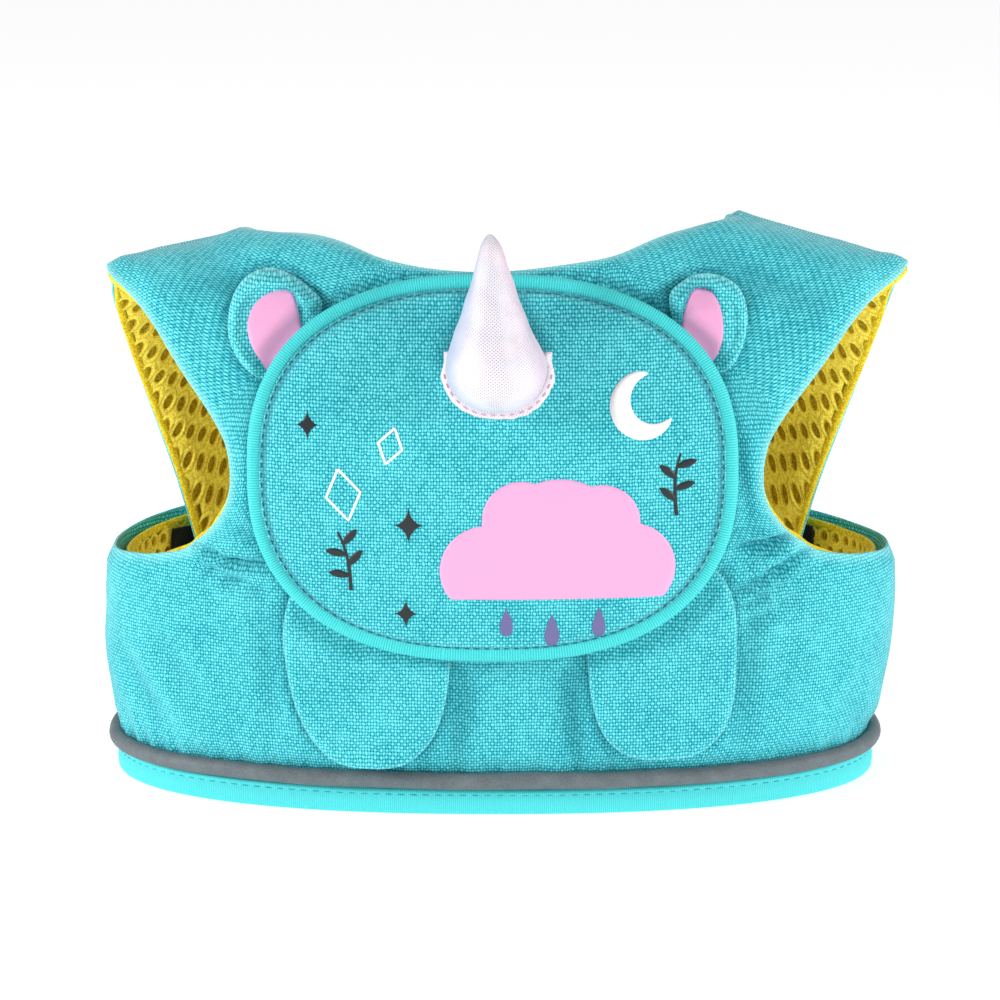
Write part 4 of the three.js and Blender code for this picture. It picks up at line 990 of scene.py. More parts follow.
# Half width, half height, depth and tone of the rings inside a cell, down into its hole; the tone is painted
# light and shade, lightest on the raised rim and darkest down in the hole
HOLE_RINGS = ((2.2, 2.35, 0.25, 1.25), (1.65, 1.8, -0.2, 0.8), (1.4, 1.55, -1.35, 0.4))


def build_lining():
    sheet = Sheet(LINING_INSET, LINING_DROP, spread=LINING_SPREAD)
    z = sheet.points[:, 2]
    margin = 1 - smooth(0.2, 0.9, sheet.edge)
    # Along the armholes and the neck the lining rises to meet the cover's edge
    free = np.where(sheet.rows > CREST_ROW, 1.0, smooth(84, 92, z))
    rise = (1 - smooth(0, 6.0, sheet.edge)) ** 1.5 * (0.5 + 1.9 * free)
    face = -WALL - LINING_GAP - LINING_WALL
    wobble = noise_at(sheet.points, 12.0, 8) * 0.25
    inner = face + 1.15 * (1 - margin) + wobble + rise
    outer = -WALL - LINING_GAP + 0.2 + rise * 0.8 * free - 0.3 * (1 - free)
    points, faces, uv = slab(sheet, outer, inner, mix(1.35, 0.6, smooth(146, 156, z)))
    # Where margin is 1 the backing shows the yarn's own yellow; elsewhere it takes its painted shade
    values = np.concatenate([margin, margin, np.ones(len(points) - 2 * len(z))])
    obj = mesh("lining_back", points, faces, KNIT_BACK_SHADED, "lining", uv, {"margin": values})
    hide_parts("mesh_lining")
    build_lattice(sheet, -(face + wobble + rise))


def cell_rings():
    """A cell's rings, from the hexagon round it down into its hole: offsets, depth and tone, the tone being
    painted light and shade.
    """
    turn = math.pi / 6 + np.arange(CELL_SIDES) * math.pi / 6
    circle = np.stack([np.cos(turn), np.sin(turn)], -1)
    corner = CELL_PITCH / math.sqrt(3)
    hexagon = np.where(np.arange(CELL_SIDES) % 2 == 0, corner, corner * math.cos(math.pi / 6))
    rings = [(circle * hexagon[:, None], -0.25, 0.78)]
    return rings + [(circle * (wide, tall), depth, tone) for wide, tall, depth, tone in HOLE_RINGS]


def laid_flat(sheet, height):
    """A function from u and v to the place, normal and height there, and how far off the sheet that is."""
    flat = np.concatenate([sheet.uv, np.zeros((len(sheet.uv), 1))], 1)
    triangles = np.concatenate([sheet.quads[:, [0, 1, 2]], sheet.quads[:, [0, 2, 3]]])
    tree = BVHTree.FromPolygons(flat.tolist(), triangles.tolist())

    def find(u, v):
        spot, _, number, away = tree.find_nearest(Vector((u, v, 0)))
        ids = triangles[number]
        a, b, c = flat[ids, :2]
        area = (b[0] - a[0]) * (c[1] - a[1]) - (b[1] - a[1]) * (c[0] - a[0])
        second = ((spot.x - a[0]) * (c[1] - a[1]) - (spot.y - a[1]) * (c[0] - a[0])) / area
        third = ((b[0] - a[0]) * (spot.y - a[1]) - (b[1] - a[1]) * (spot.x - a[0])) / area
        w = np.array([1 - second - third, second, third])
        return w @ sheet.points[ids], unit(w @ sheet.normals[ids]), w @ height[ids], away

    return find


def build_lattice(sheet, base_height):
    find = laid_flat(sheet, base_height)
    shapes = cell_rings()
    row_gap = CELL_PITCH * math.sqrt(3) / 2
    low, high = sheet.uv.min(0), sheet.uv.max(0)
    points, faces = [], []
    for j in range(int((high[1] - low[1]) / row_gap) + 1):
        for i in range(int((high[0] - low[0]) / CELL_PITCH) + 2):
            u = low[0] + (i + 0.5 * (j % 2)) * CELL_PITCH
            v = low[1] + j * row_gap + CELL_START
            if find(u, v)[3] > CELL_OVERHANG:
                continue
            start = len(points)
            for ring, depth, _ in shapes:
                for du, dv in ring:
                    place, normal, height, _ = find(u + du, v + dv)
                    points.append(place - normal * (height + depth))
            for k in range(len(shapes) - 1):
                for m in range(CELL_SIDES):
                    a, b = (start + k * CELL_SIDES + n for n in (m, (m + 1) % CELL_SIDES))
                    faces.append((a, a + CELL_SIDES, b + CELL_SIDES, b))
    ring_light_and_shade = np.concatenate([np.full(CELL_SIDES, tone) for _, _, tone in shapes])
    tone = np.tile(ring_light_and_shade, len(points) // len(ring_light_and_shade))
    obj = mesh("lining_mesh", np.array(points), faces, KNIT, "lining", attributes={"tone": tone})
    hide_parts("mesh_lining")


# Hem

AROUND = 260  # steps along the hem
LINING_FACE = WALL + LINING_GAP + LINING_WALL
TAPE_RADIUS = 1.6
# The tape's outside, that dips along its stitches: depth inwards and height
TAPE_OUTSIDE = [
    (-1.45, BINDING - 1.8),
    (-1.25, BINDING - 2.0),
    (-1.5, BINDING - 2.5),
    (-1.85, 4.2),
    (-1.7, 2.6),
]
# Length, gap, half thickness and dip of the threads
HEM_STITCH = (2.6, 1.3, 0.17, 0.4)
FLAP_STITCH = (2.1, 0.95, 0.2, 0.4)
HORN_STITCH = (1.9, 0.9, 0.24, 0.4)


def round_body(z, start, end, count):
    """Points round the body between two angles, and the way out from it."""
    angle = np.linspace(start, end, count + 1)
    along = unit(band_point(angle + 0.5, z) - band_point(angle - 0.5, z))
    return band_point(angle, z), np.stack([along[:, 1], -along[:, 0], np.zeros(len(angle))], -1)


def hem_line(z, ends_at):
    """The same along the hem at one height."""
    end = float(back_angle(WING_END, ends_at))
    return round_body(np.full(AROUND + 1, z), -end, end, AROUND)


def tape_section():
    """The tape's section, from the inside round over the top to the outside: depths and heights."""
    inside_x, outside_x, low, high = LINING_FACE - TAPE_RADIUS, 0.1, TAPE_RADIUS, BINDING - TAPE_RADIUS
    centres = ((inside_x, low), (inside_x, high), (outside_x, high), (outside_x, low))
    section = []
    for k, (depth, z) in enumerate(centres):
        for t in np.linspace((k - 1) * math.pi / 2, k * math.pi / 2, 6):
            section.append((depth + TAPE_RADIUS * math.cos(t), z + TAPE_RADIUS * math.sin(t)))
    return np.array(section[:18] + TAPE_OUTSIDE + section[18:])


def build_hem_tape():
    section = tape_section()
    s = length_along(hem_line(0.0, 0.0)[0])
    wave = 0.16 * noise_along(s, 14.0, 0.3, 7.1)
    rows = []
    for depth, z in section:
        point, out = hem_line(z, 0.0)
        outside = depth < 1 and 1.0 < z < BINDING - 1
        rows.append(point - out * (depth + wave * outside)[:, None])
    points, faces = lofted(np.stack(rows, 1))
    uv = grid_uv(s, length_along(section))
    obj = mesh("hem_tape", points, faces, HEM_TAPE, "binding", uv)
    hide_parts("hem_binding")


def build_hem_stitches():
    point, out = hem_line(BINDING - 2.0, 0.0)
    mesh("hem_stitches", *stitches(point + out * 1.42, out, *HEM_STITCH), THREAD, "binding")


def build_piping():
    """A filled tube in reflective cloth, a little uneven."""
    point, out = hem_line(BINDING + 0.3 + PIPING, BINDING + 3.0)
    s = length_along(point)
    sway = noise_along(s, 22.0, 4.2, 1.7)
    size = PIPING * (1.02 + 0.03 * noise_along(s, 9.0, 1.2, 9.7))
    up = np.broadcast_to([0, 0, 1.0], point.shape)
    centre = point + out * (PIPING - 0.55) + 0.35 * up * sway[:, None]
    points, faces = lofted(tube(centre, up, out, 20, size, size))
    uv = grid_uv(s, full_turn(20) * PIPING)
    obj = mesh("piping_cord", points, faces, REFLECT, "reflective", uv)
    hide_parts("reflective_piping")


# Pads: closed cushions over an outline, and thin patches on them


def rolled(share, exponent=14):
    """1 over a pad and 0 at its rim, with a round turn between."""
    return np.sqrt(np.clip(1 - share**exponent, 0, 1))


def counter_clockwise(x, z):
    area = np.sum(x * np.roll(z, -1) - np.roll(x, -1) * z)
    return (x[::-1], z[::-1]) if area < 0 else (x, z)


def disc(centre, x, z, shares):
    """Polar grid over an outline given as x and z round it: x, z and share of each point, faces and rim."""
    sides = len(x)
    grown = [c + (q[None] - c) * shares[:, None] for c, q in zip(centre, (x, z))]
    xs, zs = (np.concatenate([[c], q.ravel()]) for c, q in zip(centre, grown))
    ss = np.concatenate([[0.0], np.repeat(shares, sides)])
    index = 1 + np.arange(len(shares) * sides).reshape(len(shares), sides)
    faces = [[0, int(index[0, k]), int(index[0, (k + 1) % sides])] for k in range(sides)]
    a, b = index[:-1], index[1:]
    faces += np.stack([a, b, np.roll(b, -1, 1), np.roll(a, -1, 1)], -1).reshape(-1, 4).tolist()
    return xs, zs, ss, faces, index[-1]


def closed_form(face, back, faces, rim):
    """Points and faces of a form with those two sides and a wall between them along the rim."""
    n = len(face)
    after = np.roll(rim, -1)
    wall = np.stack([rim, rim + n, after + n, after], -1).tolist()
    return np.concatenate([face, back]), faces + [[q + n for q in f[::-1]] for f in faces] + wall


def pad(name, centre, outline, shares, front, rear, material, slot, shift=0.0, painted_shade=None):
    """A pad, and its tree. front and rear are functions of x, z and the share of the way to the edge."""
    xs, zs, ss, faces, rim = disc(centre, *outline, shares)
    points, faces = closed_form(ahead(xs, zs, front(xs, zs, ss)), ahead(xs, zs, rear(xs, zs, ss)), faces, rim)
    uv = np.stack([np.tile(xs, 2) + shift, np.tile(zs, 2)], -1)
    # A painted highlight along the pad's rim, and the painted shade that the last argument gives
    edge_highlight = 0.38 * hill(1 - ss, 0, 0.03)
    shade = painted_shade(xs, zs, ss) if painted_shade else 0 * ss
    attributes = {"rim": np.tile(edge_highlight, 2), "shade": np.tile(shade, 2)}
    return mesh(name, points, faces, material, slot, uv, attributes), tree_of(points, faces)


# Flap

# How far in from the outline the pad ends, the seam lies and the stitches run
FLAP_EDGE, FLAP_SEAM, FLAP_STITCH_INSET = 4.0, 4.2, 4.6
FLAP_SHARES = np.concatenate([np.linspace(0.04, 0.86, 22), np.linspace(0.875, 1.0, 12)])
TAPE_JOINT, TAPE_LAP = 2.0, 0.3  # where the binding's ends lap, and how much higher they lie there
# The flap's gap to the bib, the gap at its top, its height above that at the rim, and its dome's
FLAP_GAP, FLAP_TOP_GAP, FLAP_THICK, FLAP_DOME = 2.9, 0.3, 4.1, 5.4
# The dents beside the horn: from and to where, in x from the flap's middle and in z, depth and half width
DENT_FROM, DENT_TO, DENT_DEEP, DENT_HALF = (19, 139.0), (37, 128.0), 0.6, 4.5


def flap_outline(turn, inset):
    x = FLAP_X + (FLAP_W - inset) * power(np.cos(turn), 2 / FLAP_POWER)
    z = FLAP_Z + (FLAP_H - inset) * power(np.sin(turn), 2 / FLAP_POWER)
    return x, z


def flap_share(x, z):
    across, up = np.abs(x - FLAP_X) / FLAP_W, np.abs(z - FLAP_Z) / FLAP_H
    return (across**FLAP_POWER + up**FLAP_POWER) ** (1 / FLAP_POWER)


def standoff(x, z):
    """How far the flap's underside lies in front of the bib; at the top it comes down on it."""
    high = smooth(FLAP_Z + FLAP_H * 0.7, FLAP_Z + FLAP_H, z)
    middle = 1 - smooth(FLAP_W * 0.3, FLAP_W * 0.6, np.abs(x - FLAP_X))
    return mix(FLAP_GAP, FLAP_TOP_GAP, high * middle)


def even_turns(count, inset):
    """Turns round the flap's outline at even distances."""
    turn = np.linspace(0, 2 * math.pi, 4001)
    s = length_along(np.stack(flap_outline(turn, inset), -1))
    return np.interp(np.arange(count) / count * s[-1], s, turn)


def horn_pull(x, z):
    """Two dents that run out from the horn's foot to the sides."""
    pull = 0.0
    for side in (-1, 1):
        ax, az = FLAP_X + side * DENT_FROM[0], DENT_FROM[1]
        along = np.array([FLAP_X + side * DENT_TO[0] - ax, DENT_TO[1] - az])
        t = np.clip(((x - ax) * along[0] + (z - az) * along[1]) / (along @ along), 0, 1)
        away = np.hypot(x - ax - t * along[0], z - az - t * along[1])
        pull = pull + DENT_DEEP * hill(away, 0, DENT_HALF) * (1 - t)
    return pull


def flap_face(x, z):
    """The flap's front: a low dome that dips along the stitches and meets the binding."""
    s = np.clip(flap_share(x, z), 0, 1)
    dome = FLAP_DOME * (1 - s**2.1)
    broad = noise_over(x, z, 26.0, 11) * 0.55 + noise_over(x, z, 12.0, 12) * 0.22
    edge = (1 - s) * FLAP_H
    groove = 0.5 * hill(edge, FLAP_SEAM, 0.8)
    quilt = 0.5 * hill(edge, 11.0, 4.0)
    relief = dome + broad * smooth(0, 14, edge) - groove + quilt - horn_pull(x, z)
    return standoff(x, z) + FLAP_THICK + relief


def flap_shade(x, z):
    """Painted shade along the seam's groove and close beside the horn."""
    seam = hill((1 - flap_share(x, z)) * FLAP_H, FLAP_SEAM, 0.8)
    up = (z - HORN_Z) / HORN_TALL
    beside = np.abs(x - horn_middle(up)) - HORN_W * look_up(HORN, "width", np.clip(up, 0, 1))
    dip = 0.75 * hill(np.maximum(beside, 0), 0, 3.0) * smooth(0.1, 0.35, up)
    return np.maximum(seam, dip)


def build_flap():
    outline = flap_outline(even_turns(220, FLAP_EDGE), FLAP_EDGE)
    obj, tree = pad(
        "flap_cloth",
        (FLAP_X, FLAP_Z),
        outline,
        FLAP_SHARES,
        lambda x, z, s: flap_face(x, z),
        lambda x, z, s: standoff(x, z) + 0.2,
        CLOTH,
        "cover",
        painted_shade=lambda x, z, s: flap_shade(x, z),
    )
    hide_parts("flap")
    return tree


def build_flap_binding():
    """An oval tube of ribbed tape, with its ends lapped at the bottom."""
    x, z = flap_outline(np.roll(even_turns(420, FLAP_TUBE), -300), FLAP_TUBE)
    gap = standoff(x, z) + FLAP_TUBE
    centre = ahead(x, z, gap)
    forward = unit(ahead(x, z, gap + 1) - centre)
    along = unit(np.roll(centre, -1, 0) - np.roll(centre, 1, 0))
    across = unit(np.cross(along, forward))
    s = length_along(closed(centre))
    pucker = noise_along(s[:-1], 5.0, 2.2, 6.1)
    wide = FLAP_TUBE * (1.0 + 0.03 * pucker)
    joint = np.argmin(np.abs(x - TAPE_JOINT) + np.where(z < FLAP_Z, 0, 1000))
    lap = TAPE_LAP * smooth(4.2, 3.2, np.abs(s[:-1] - s[joint]))
    tall = FLAP_TUBE * (0.96 + 0.04 * pucker) + lap
    rows = tube(centre, across, unit(np.cross(across, along)), 20, wide, tall, 0.85)
    # The first row again at the end, so that the ribs run on over the joint
    points, faces = lofted(closed(rows), caps=False)
    uv = grid_uv(s, full_turn(20) * FLAP_TUBE)
    obj = mesh("flap_tape_roll", points, faces, TAPE, "binding", uv)
    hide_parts("flap_binding")
    return tree_of(points, faces)


def build_flap_stitches(trees):
    x, z = flap_outline(even_turns(700, 3.7), FLAP_STITCH_INSET)
    path, up = drape(trees, x, z, 0.1)
    mesh("flap_stitches", *stitches(closed(path), closed(up), *FLAP_STITCH), THREAD_DARK, "cover")


# Ears and legs: x and z round them

EAR_OUTLINES = {
    "left": [
        (-72.6, 138.5), (-78.4, 142.6), (-82.3, 148.6), (-83.4, 155.2), (-81.6, 163.0), (-77.2, 168.0),
        (-71.2, 170.0), (-64.6, 168.9), (-58.4, 165.6), (-54.0, 160.6), (-58.0, 150.0), (-65.0, 141.0),
    ],
    "right": [
        (53.2, 163.0), (57.4, 167.6), (63.2, 169.4), (69.6, 168.6), (74.4, 165.8), (77.0, 161.4),
        (77.5, 155.2), (75.8, 148.4), (72.2, 142.4), (68.0, 140.4), (63.0, 143.0), (56.0, 152.0),
    ],
}
EAR_PINKS = {
    "left": [
        (-77.0, 155.4), (-76.3, 150.4), (-73.6, 145.2), (-69.6, 140.4), (-64.5, 143.5), (-60.0, 150.5),
        (-60.9, 157.0), (-62.2, 162.4), (-63.5, 164.4), (-66.3, 164.9), (-71.2, 163.5), (-75.2, 160.2),
    ],
    "right": [
        (59.6, 164.6), (62.8, 166.0), (66.4, 164.6), (68.9, 160.4), (69.8, 154.6),
        (69.0, 148.8), (66.4, 144.2), (61.6, 145.6), (57.4, 150.8), (57.4, 157.4),
    ],
}
EAR_X, EAR_Z = 69.0, 154.0
EAR_RIM, EAR_FOLD, EAR_VALLEY = 1.7, 1.6, 1.3  # heights of the raised rim and of the fold inside it
# The shares past the flap's outline at which the pads are clear of it, and how far forward the feet stand
EAR_SLOPE, LEG_SLOPE, LEG_LIFT = 0.10, 0.12, 5.6
EAR_UV, LEG_UV = 200.0, 400.0  # shifts, so that the pads' weave isn't the cover's run on
LEG_X = {"left": -40.5, "right": 51.5}
# Half width, half height, middle's height, squareness and how much narrower the foot is
LEG_SIZES = {"left": (26.4, 33.0, 50.2, 2.9, 0.14), "right": (23.6, 31.9, 51.0, 3.1, 0.06)}
PAD_SHARES = np.concatenate([np.linspace(0.06, 0.84, 16), 1 - 0.16 * (1 - np.linspace(0, 1, 12)[1:]) ** 2])
# Where a pad's middle lies and half its thickness, tucked under the flap and free of it
TUCKED, TUCKED_HALF, FREE, FREE_HALF = 1.25, 0.9, 3.4, 2.4


def closed_curve(control, per):
    """A smooth closed curve through control points, with that many points to each."""
    p = np.array(control, float)
    n = len(p)
    out = []
    for k in range(n):
        p0, p1, p2, p3 = p[k - 1], p[k], p[(k + 1) % n], p[(k + 2) % n]
        for t in np.arange(per) / per:
            curve = 2 * p1 + (p2 - p0) * t + (2 * p0 - 5 * p1 + 4 * p2 - p3) * t**2
            out.append(0.5 * (curve + (3 * p1 - p0 - 3 * p2 + p3) * t**3))
    return np.array(out)


def ear_outline(side):
    return closed_curve(EAR_OUTLINES[side], 9)


def tucked(x, z, s, free, sign, depth):
    """A pad's face or back: thin under the flap, and as given where it is clear of it."""
    clear = smooth(0.015, -depth, 1 - flap_share(x, z))
    return mix(TUCKED + sign * TUCKED_HALF * rolled(s), free, clear)


def build_ear(side):
    pink_edge = closed_curve(EAR_PINKS[side], 8)
    sign = -1 if side == "left" else 1
    centre = (sign * EAR_X, EAR_Z)

    def front(x, z, s):
        rim = EAR_RIM * hill(s, 0.84, 0.10)
        inward = smooth(1.0, 9.0, -sign * (x - centre[0])) * smooth(138, 150, z)
        fold = EAR_FOLD * inward * hill(s, 0.80, 0.13) - EAR_VALLEY * inward * hill(s, 0.60, 0.06)
        rough = 0.25 * noise_over(x, z, 9.0, 21) * (s < 0.98)
        spots = np.stack([x, z], -1)
        off = np.where(inside(spots, pink_edge), 0.0, distance_to(spots, pink_edge))
        relief = (rim + fold + 0.5) * smooth(0.0, 1.4, off) * (s < 0.99)
        return tucked(x, z, s, FREE + 2.0 * rolled(s) + relief + rough, 1, EAR_SLOPE)

    def rear(x, z, s):
        return tucked(x, z, s, FREE - FREE_HALF * rolled(s), -1, EAR_SLOPE)

    # Painted shade in the crease just outside the pink patch, mostly on its inner side
    def crease(x, z, s):
        near = distance_to(np.stack([x, z], -1), pink_edge)
        inner_side = smooth(-1.0, 4.0, -sign * (x - centre[0]))
        return 1.1 * hill(near, 0.7, 0.7) * (0.1 + 0.9 * inner_side) * (s < 0.97)

    outline = counter_clockwise(*ear_outline(side).T)
    name = "ear_cloth_" + side
    obj, tree = pad(name, centre, outline, PAD_SHARES, front, rear, EAR_CLOTH_PAINTED_LIGHTER, "cover", EAR_UV, crease)
    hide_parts("ear_" + side)
    build_ear_pink(side, pink_edge, tree)


def build_ear_pink(side, pink_edge, tree):
    x, z = counter_clockwise(*pink_edge.T)
    xs, zs, ss, faces, rim = disc((x.mean(), z.mean()), x, z, np.linspace(0.1, 1.0, 10))
    top, _ = drape([tree], xs, zs, 0.32 * np.sqrt(np.clip(1.03 - ss**10, 0, 1)))
    points, faces = closed_form(top, top + np.array([0, 0.5, 0]), faces, rim)
    patch = mesh("ear_pink_" + side, points, faces, PINK, "pink")
    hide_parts("ear_inner_" + side)


def leg_outline(side):
    """Narrower at the foot, and leaning a little."""
    turn = np.linspace(0, 2 * math.pi, 121)[:-1]
    cx, (wide, tall, cz, square, taper) = LEG_X[side], LEG_SIZES[side]
    x = cx + wide * power(np.cos(turn), 2 / square)
    z = cz + tall * power(np.sin(turn), 2 / square)
    low = smooth(62, 18, z)
    x = cx + (x - cx) * (1 - taper * low) + 1.0 * low
    return evened(closed(np.stack([x, z], -1)), 1.35)


def evened(path, step):
    """A closed path's points at even distances."""
    s = length_along(path)
    at = np.linspace(0, s[-1], int(round(s[-1] / step)) + 1)[:-1]
    return np.stack([np.interp(at, s, path[:, k]) for k in range(2)], -1)


def build_leg(side):
    cx, cz = LEG_X[side], LEG_SIZES[side][2]

    def lift(z):
        """The foot stands forward, clear of the piping."""
        return LEG_LIFT * smooth(23.0, 14.5, z)

    def front(x, z, s):
        rough = noise_over(x, z, 17.0, 31) * 0.6 + noise_over(x, z, 8.0, 32) * 0.2
        dent = 0.8 * hill(z, 40, 9) * hill(x, cx + 6, 12)
        bead = 0.35 * hill(s, 0.9, 0.05)
        full = FREE + FREE_HALF * rolled(s) + bead + (rough - dent) * (1 - s**6)
        return tucked(x, z, s, full, 1, LEG_SLOPE) + lift(z)

    def rear(x, z, s):
        return tucked(x, z, s, FREE - FREE_HALF * rolled(s), -1, LEG_SLOPE) + lift(z)

    name, outline = "leg_cloth_" + side, leg_outline(side).T
    obj, _ = pad(name, (cx, cz), outline, PAD_SHARES, front, rear, CLOTH, "cover", LEG_UV)
    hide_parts("leg_" + side)


# Horn: shares of its half width and depth up its height

HORN = {
    "up": (0, 0.02, 0.06, 0.13, 0.23, 0.3, 0.38, 0.49, 0.66, 0.8, 0.9, 0.96, 1),
    "width": (0.12, 0.42, 0.66, 0.87, 0.985, 0.98, 0.86, 0.71, 0.5, 0.35, 0.25, 0.19, 0.05),
    "depth": (0.12, 0.3, 0.5, 0.75, 0.93, 1, 0.95, 0.86, 0.7, 0.53, 0.4, 0.3, 0.08),
}
HORN_X, HORN_Z, HORN_TALL, HORN_W, HORN_D, HORN_LEAN = 0.4, 132.2, 53.0, 15.6, 9.5, 2.4
HORN_SEWN = 0.3  # the share of its height that is sewn to the flap
HORN_SIDES = 64
LIP_POWER = 2.4
LIP_ACROSS = (0, 0.7, 3.2, 4.6, 5.3, 6.0)  # distances across the lip, for its UVs


def horn_middle(up):
    return HORN_X - HORN_LEAN * up


def horn_levels():
    """Shares of the height, close together at the foot and the tip."""
    foot = np.linspace(0, HORN_SEWN, 26) ** 1.3 / HORN_SEWN**0.3
    tip = 1 - 0.03 * (1 - np.linspace(0, 1, 8)) ** 2
    return np.unique(np.concatenate([foot, np.linspace(HORN_SEWN, 0.97, 50)[1:], tip]))


def build_horn():
    share = horn_levels()
    z = HORN_Z + HORN_TALL * share
    width, depth = HORN_W * look_up(HORN, "width", share), HORN_D * look_up(HORN, "depth", share)
    # Its foot follows the flap's face; above that it rises free
    over = z - HORN_Z - HORN_TALL * HORN_SEWN
    sewn_z = z - 0.5 * (over + np.sqrt(over**2 + 9))
    base = ahead(horn_middle(share), sewn_z, flap_face(horn_middle(share), sewn_z))
    rise = 0.5 * (share - HORN_SEWN + np.sqrt((share - HORN_SEWN) ** 2 + 0.003)) / (1 - HORN_SEWN)
    back, front = depth * mix(0.25, 1, rise), depth * mix(1.75, 1, rise)
    y = base[:, 1] - 0.35 - back + (7 - HORN_D * 0.25) * rise
    turn = full_turn(HORN_SIDES)
    sides = np.sin(turn)
    out = np.where(sides[None] > 0, back[:, None], front[:, None]) * sides[None]
    # Soft lengthwise creases, and rings pulled in by the stuffing
    up = share[:, None]
    crease = 1 + 0.035 * np.sin(5 * turn[None] + 1.1 * np.sin(9 * up)) * smooth(0.08, 0.4, up)
    bumpy = 1 + 0.025 * np.sin(up * 34 + np.cos(turn)[None] * 1.6) * smooth(0.25, 0.6, up)
    px = horn_middle(share)[:, None] + width[:, None] * np.cos(turn)[None] * crease * bumpy
    py = y[:, None] + out * crease * bumpy
    rows = np.stack([px, py, np.broadcast_to(z[:, None], px.shape)], -1)
    for _ in range(10):
        rows[6:-6] = 0.25 * rows[5:-7] + 0.5 * rows[6:-6] + 0.25 * rows[7:-5]
    points, faces = lofted(rows)
    s = length_along(rows[:, HORN_SIDES * 3 // 4])
    from_front = (turn - math.pi / 2) % (2 * math.pi) - math.pi
    girth = (width + (front + back) / 2)[:, None] / 2 * from_front[None]
    uv = np.stack([girth, np.broadcast_to(s[:, None], girth.shape)], -1).reshape(-1, 2)
    # across tells the satin where its painted side shade and sheen fall
    across = np.tile(np.cos(turn), len(rows))
    obj = mesh("horn_satin", points, faces, SATIN, "satin", uv, {"across": across})
    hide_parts("horn")


def build_horn_lip(flap_tree):
    """The seam allowance round its foot, as a thin lip on the flap, with its stitches."""
    turn = np.linspace(math.pi - 0.04, 2 * math.pi + 0.04, 120)
    top = HORN_Z + HORN_TALL * HORN_SEWN

    def lip(inset, lift):
        x = HORN_X + (HORN_W + inset) * power(np.cos(turn), 2 / LIP_POWER)
        z = top + (HORN_TALL * HORN_SEWN + inset) * power(np.sin(turn), 2 / LIP_POWER)
        z = np.where(np.sin(turn) > 0, top + (np.sin(turn) * 30), z)
        return drape([flap_tree], x, z, lift)[0]

    scallop = 0.4 * noise_along(turn * 6.0, 1.0, 3.3, 1.1)
    scallop -= 1.5 * (hill(turn, math.pi, 0.2) + hill(turn, 2 * math.pi, 0.2))
    rings = [lip(-2.2, 0.25), lip(-2.2, 1.0), lip(0.3, 1.35)]
    rings += [lip(inset + scallop, lift) for inset, lift in ((1.7, 1.15), (2.3, 0.75), (2.2, 0.1))]
    rows = np.stack(rings, 1)
    points, faces = lofted(rows)
    uv = grid_uv(length_along(rows[:, 2]), LIP_ACROSS)
    obj = mesh("horn_lip", points, faces, SATIN, "satin", uv, {"across": np.full(len(points), 0.5)})
    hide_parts("horn_hem")
    path = lip(1.2, 1.34)
    up = unit(lip(1.2, 2.3) - path)
    mesh("horn_stitches", *stitches(path[9:-9], up[9:-9], *HORN_STITCH), THREAD_PINK, "satin")


# Belt

BELT_HEIGHT, BELT_HALF, BELT_INNER_END = 59.5, 12.5, 13.4
BELT_STARTS = {"left": 117.0, "right": 111.0}
BELT_STEPS = 90


def build_webbing(name):
    side = -1 if name == "left" else 1
    start, end = (float(back_angle(x, BELT_HEIGHT)) for x in (BELT_STARTS[name], BELT_INNER_END))
    middle = LINING_FACE + 0.3 + WEBBING_WALL / 2
    rows = []
    for t in np.linspace(0, 2 * math.pi, 25)[:-1]:
        z = BELT_HEIGHT + BELT_HALF * power(math.sin(t), 0.16)
        point, out = round_body(np.full(BELT_STEPS + 1, z), side * start, side * end, BELT_STEPS)
        rows.append(point - out * (middle - WEBBING_WALL / 2 * power(math.cos(t), 0.5)))
    sections = np.stack(rows, 1)
    if side < 0:
        sections = sections[:, ::-1]
    points, faces = lofted(sections)
    uv = grid_uv(length_along(sections[:, 0]), sections[0, :, 2])
    obj = mesh("webbing_strip_" + name, points, faces, WEBBING, "webbing", uv)
    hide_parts("webbing_" + name)


# Size, edge radius, squareness and rows of the buckle's blocks
BUCKLE_BODY = ((24.0, 7.5, 31.0), 2.0, 6.0, 40)
BUCKLE_RAIL = ((9.0, 6.2, 2.6), 1.0, 4.0, 16)
BUCKLE_BAR = ((2.6, 6.2, 31.0), 1.0, 4.0, 12)
BUCKLE_TAB = ((15.0, 8.3, 5.0), 1.6, 3.0, 16)
RAIL_X, RAIL_Z, BAR_X, TAB_Z = 14.5, 14.162, 17.7, 11.5


def rounded_box(size, radius, square, count):
    """A soft-edged block centred on the origin: rows along x of superelliptic sections in y and z."""
    w, d, h = (q / 2 for q in size)
    turn = full_turn(48)
    rows = []
    for x in -w * np.cos(np.linspace(0, math.pi, count)):
        near = np.clip((abs(x) - (w - radius)) / radius, 0, 1)
        shrink = radius * (1 - math.sqrt(max(0.0, 1 - near**2)))
        y = max(0.2, d - min(shrink, d * 0.45)) * power(np.cos(turn), 2 / square)
        z = (h - shrink) * power(np.sin(turn), 2 / square)
        rows.append(np.stack([np.full(48, x), y, z], -1))
    return lofted(np.array(rows))


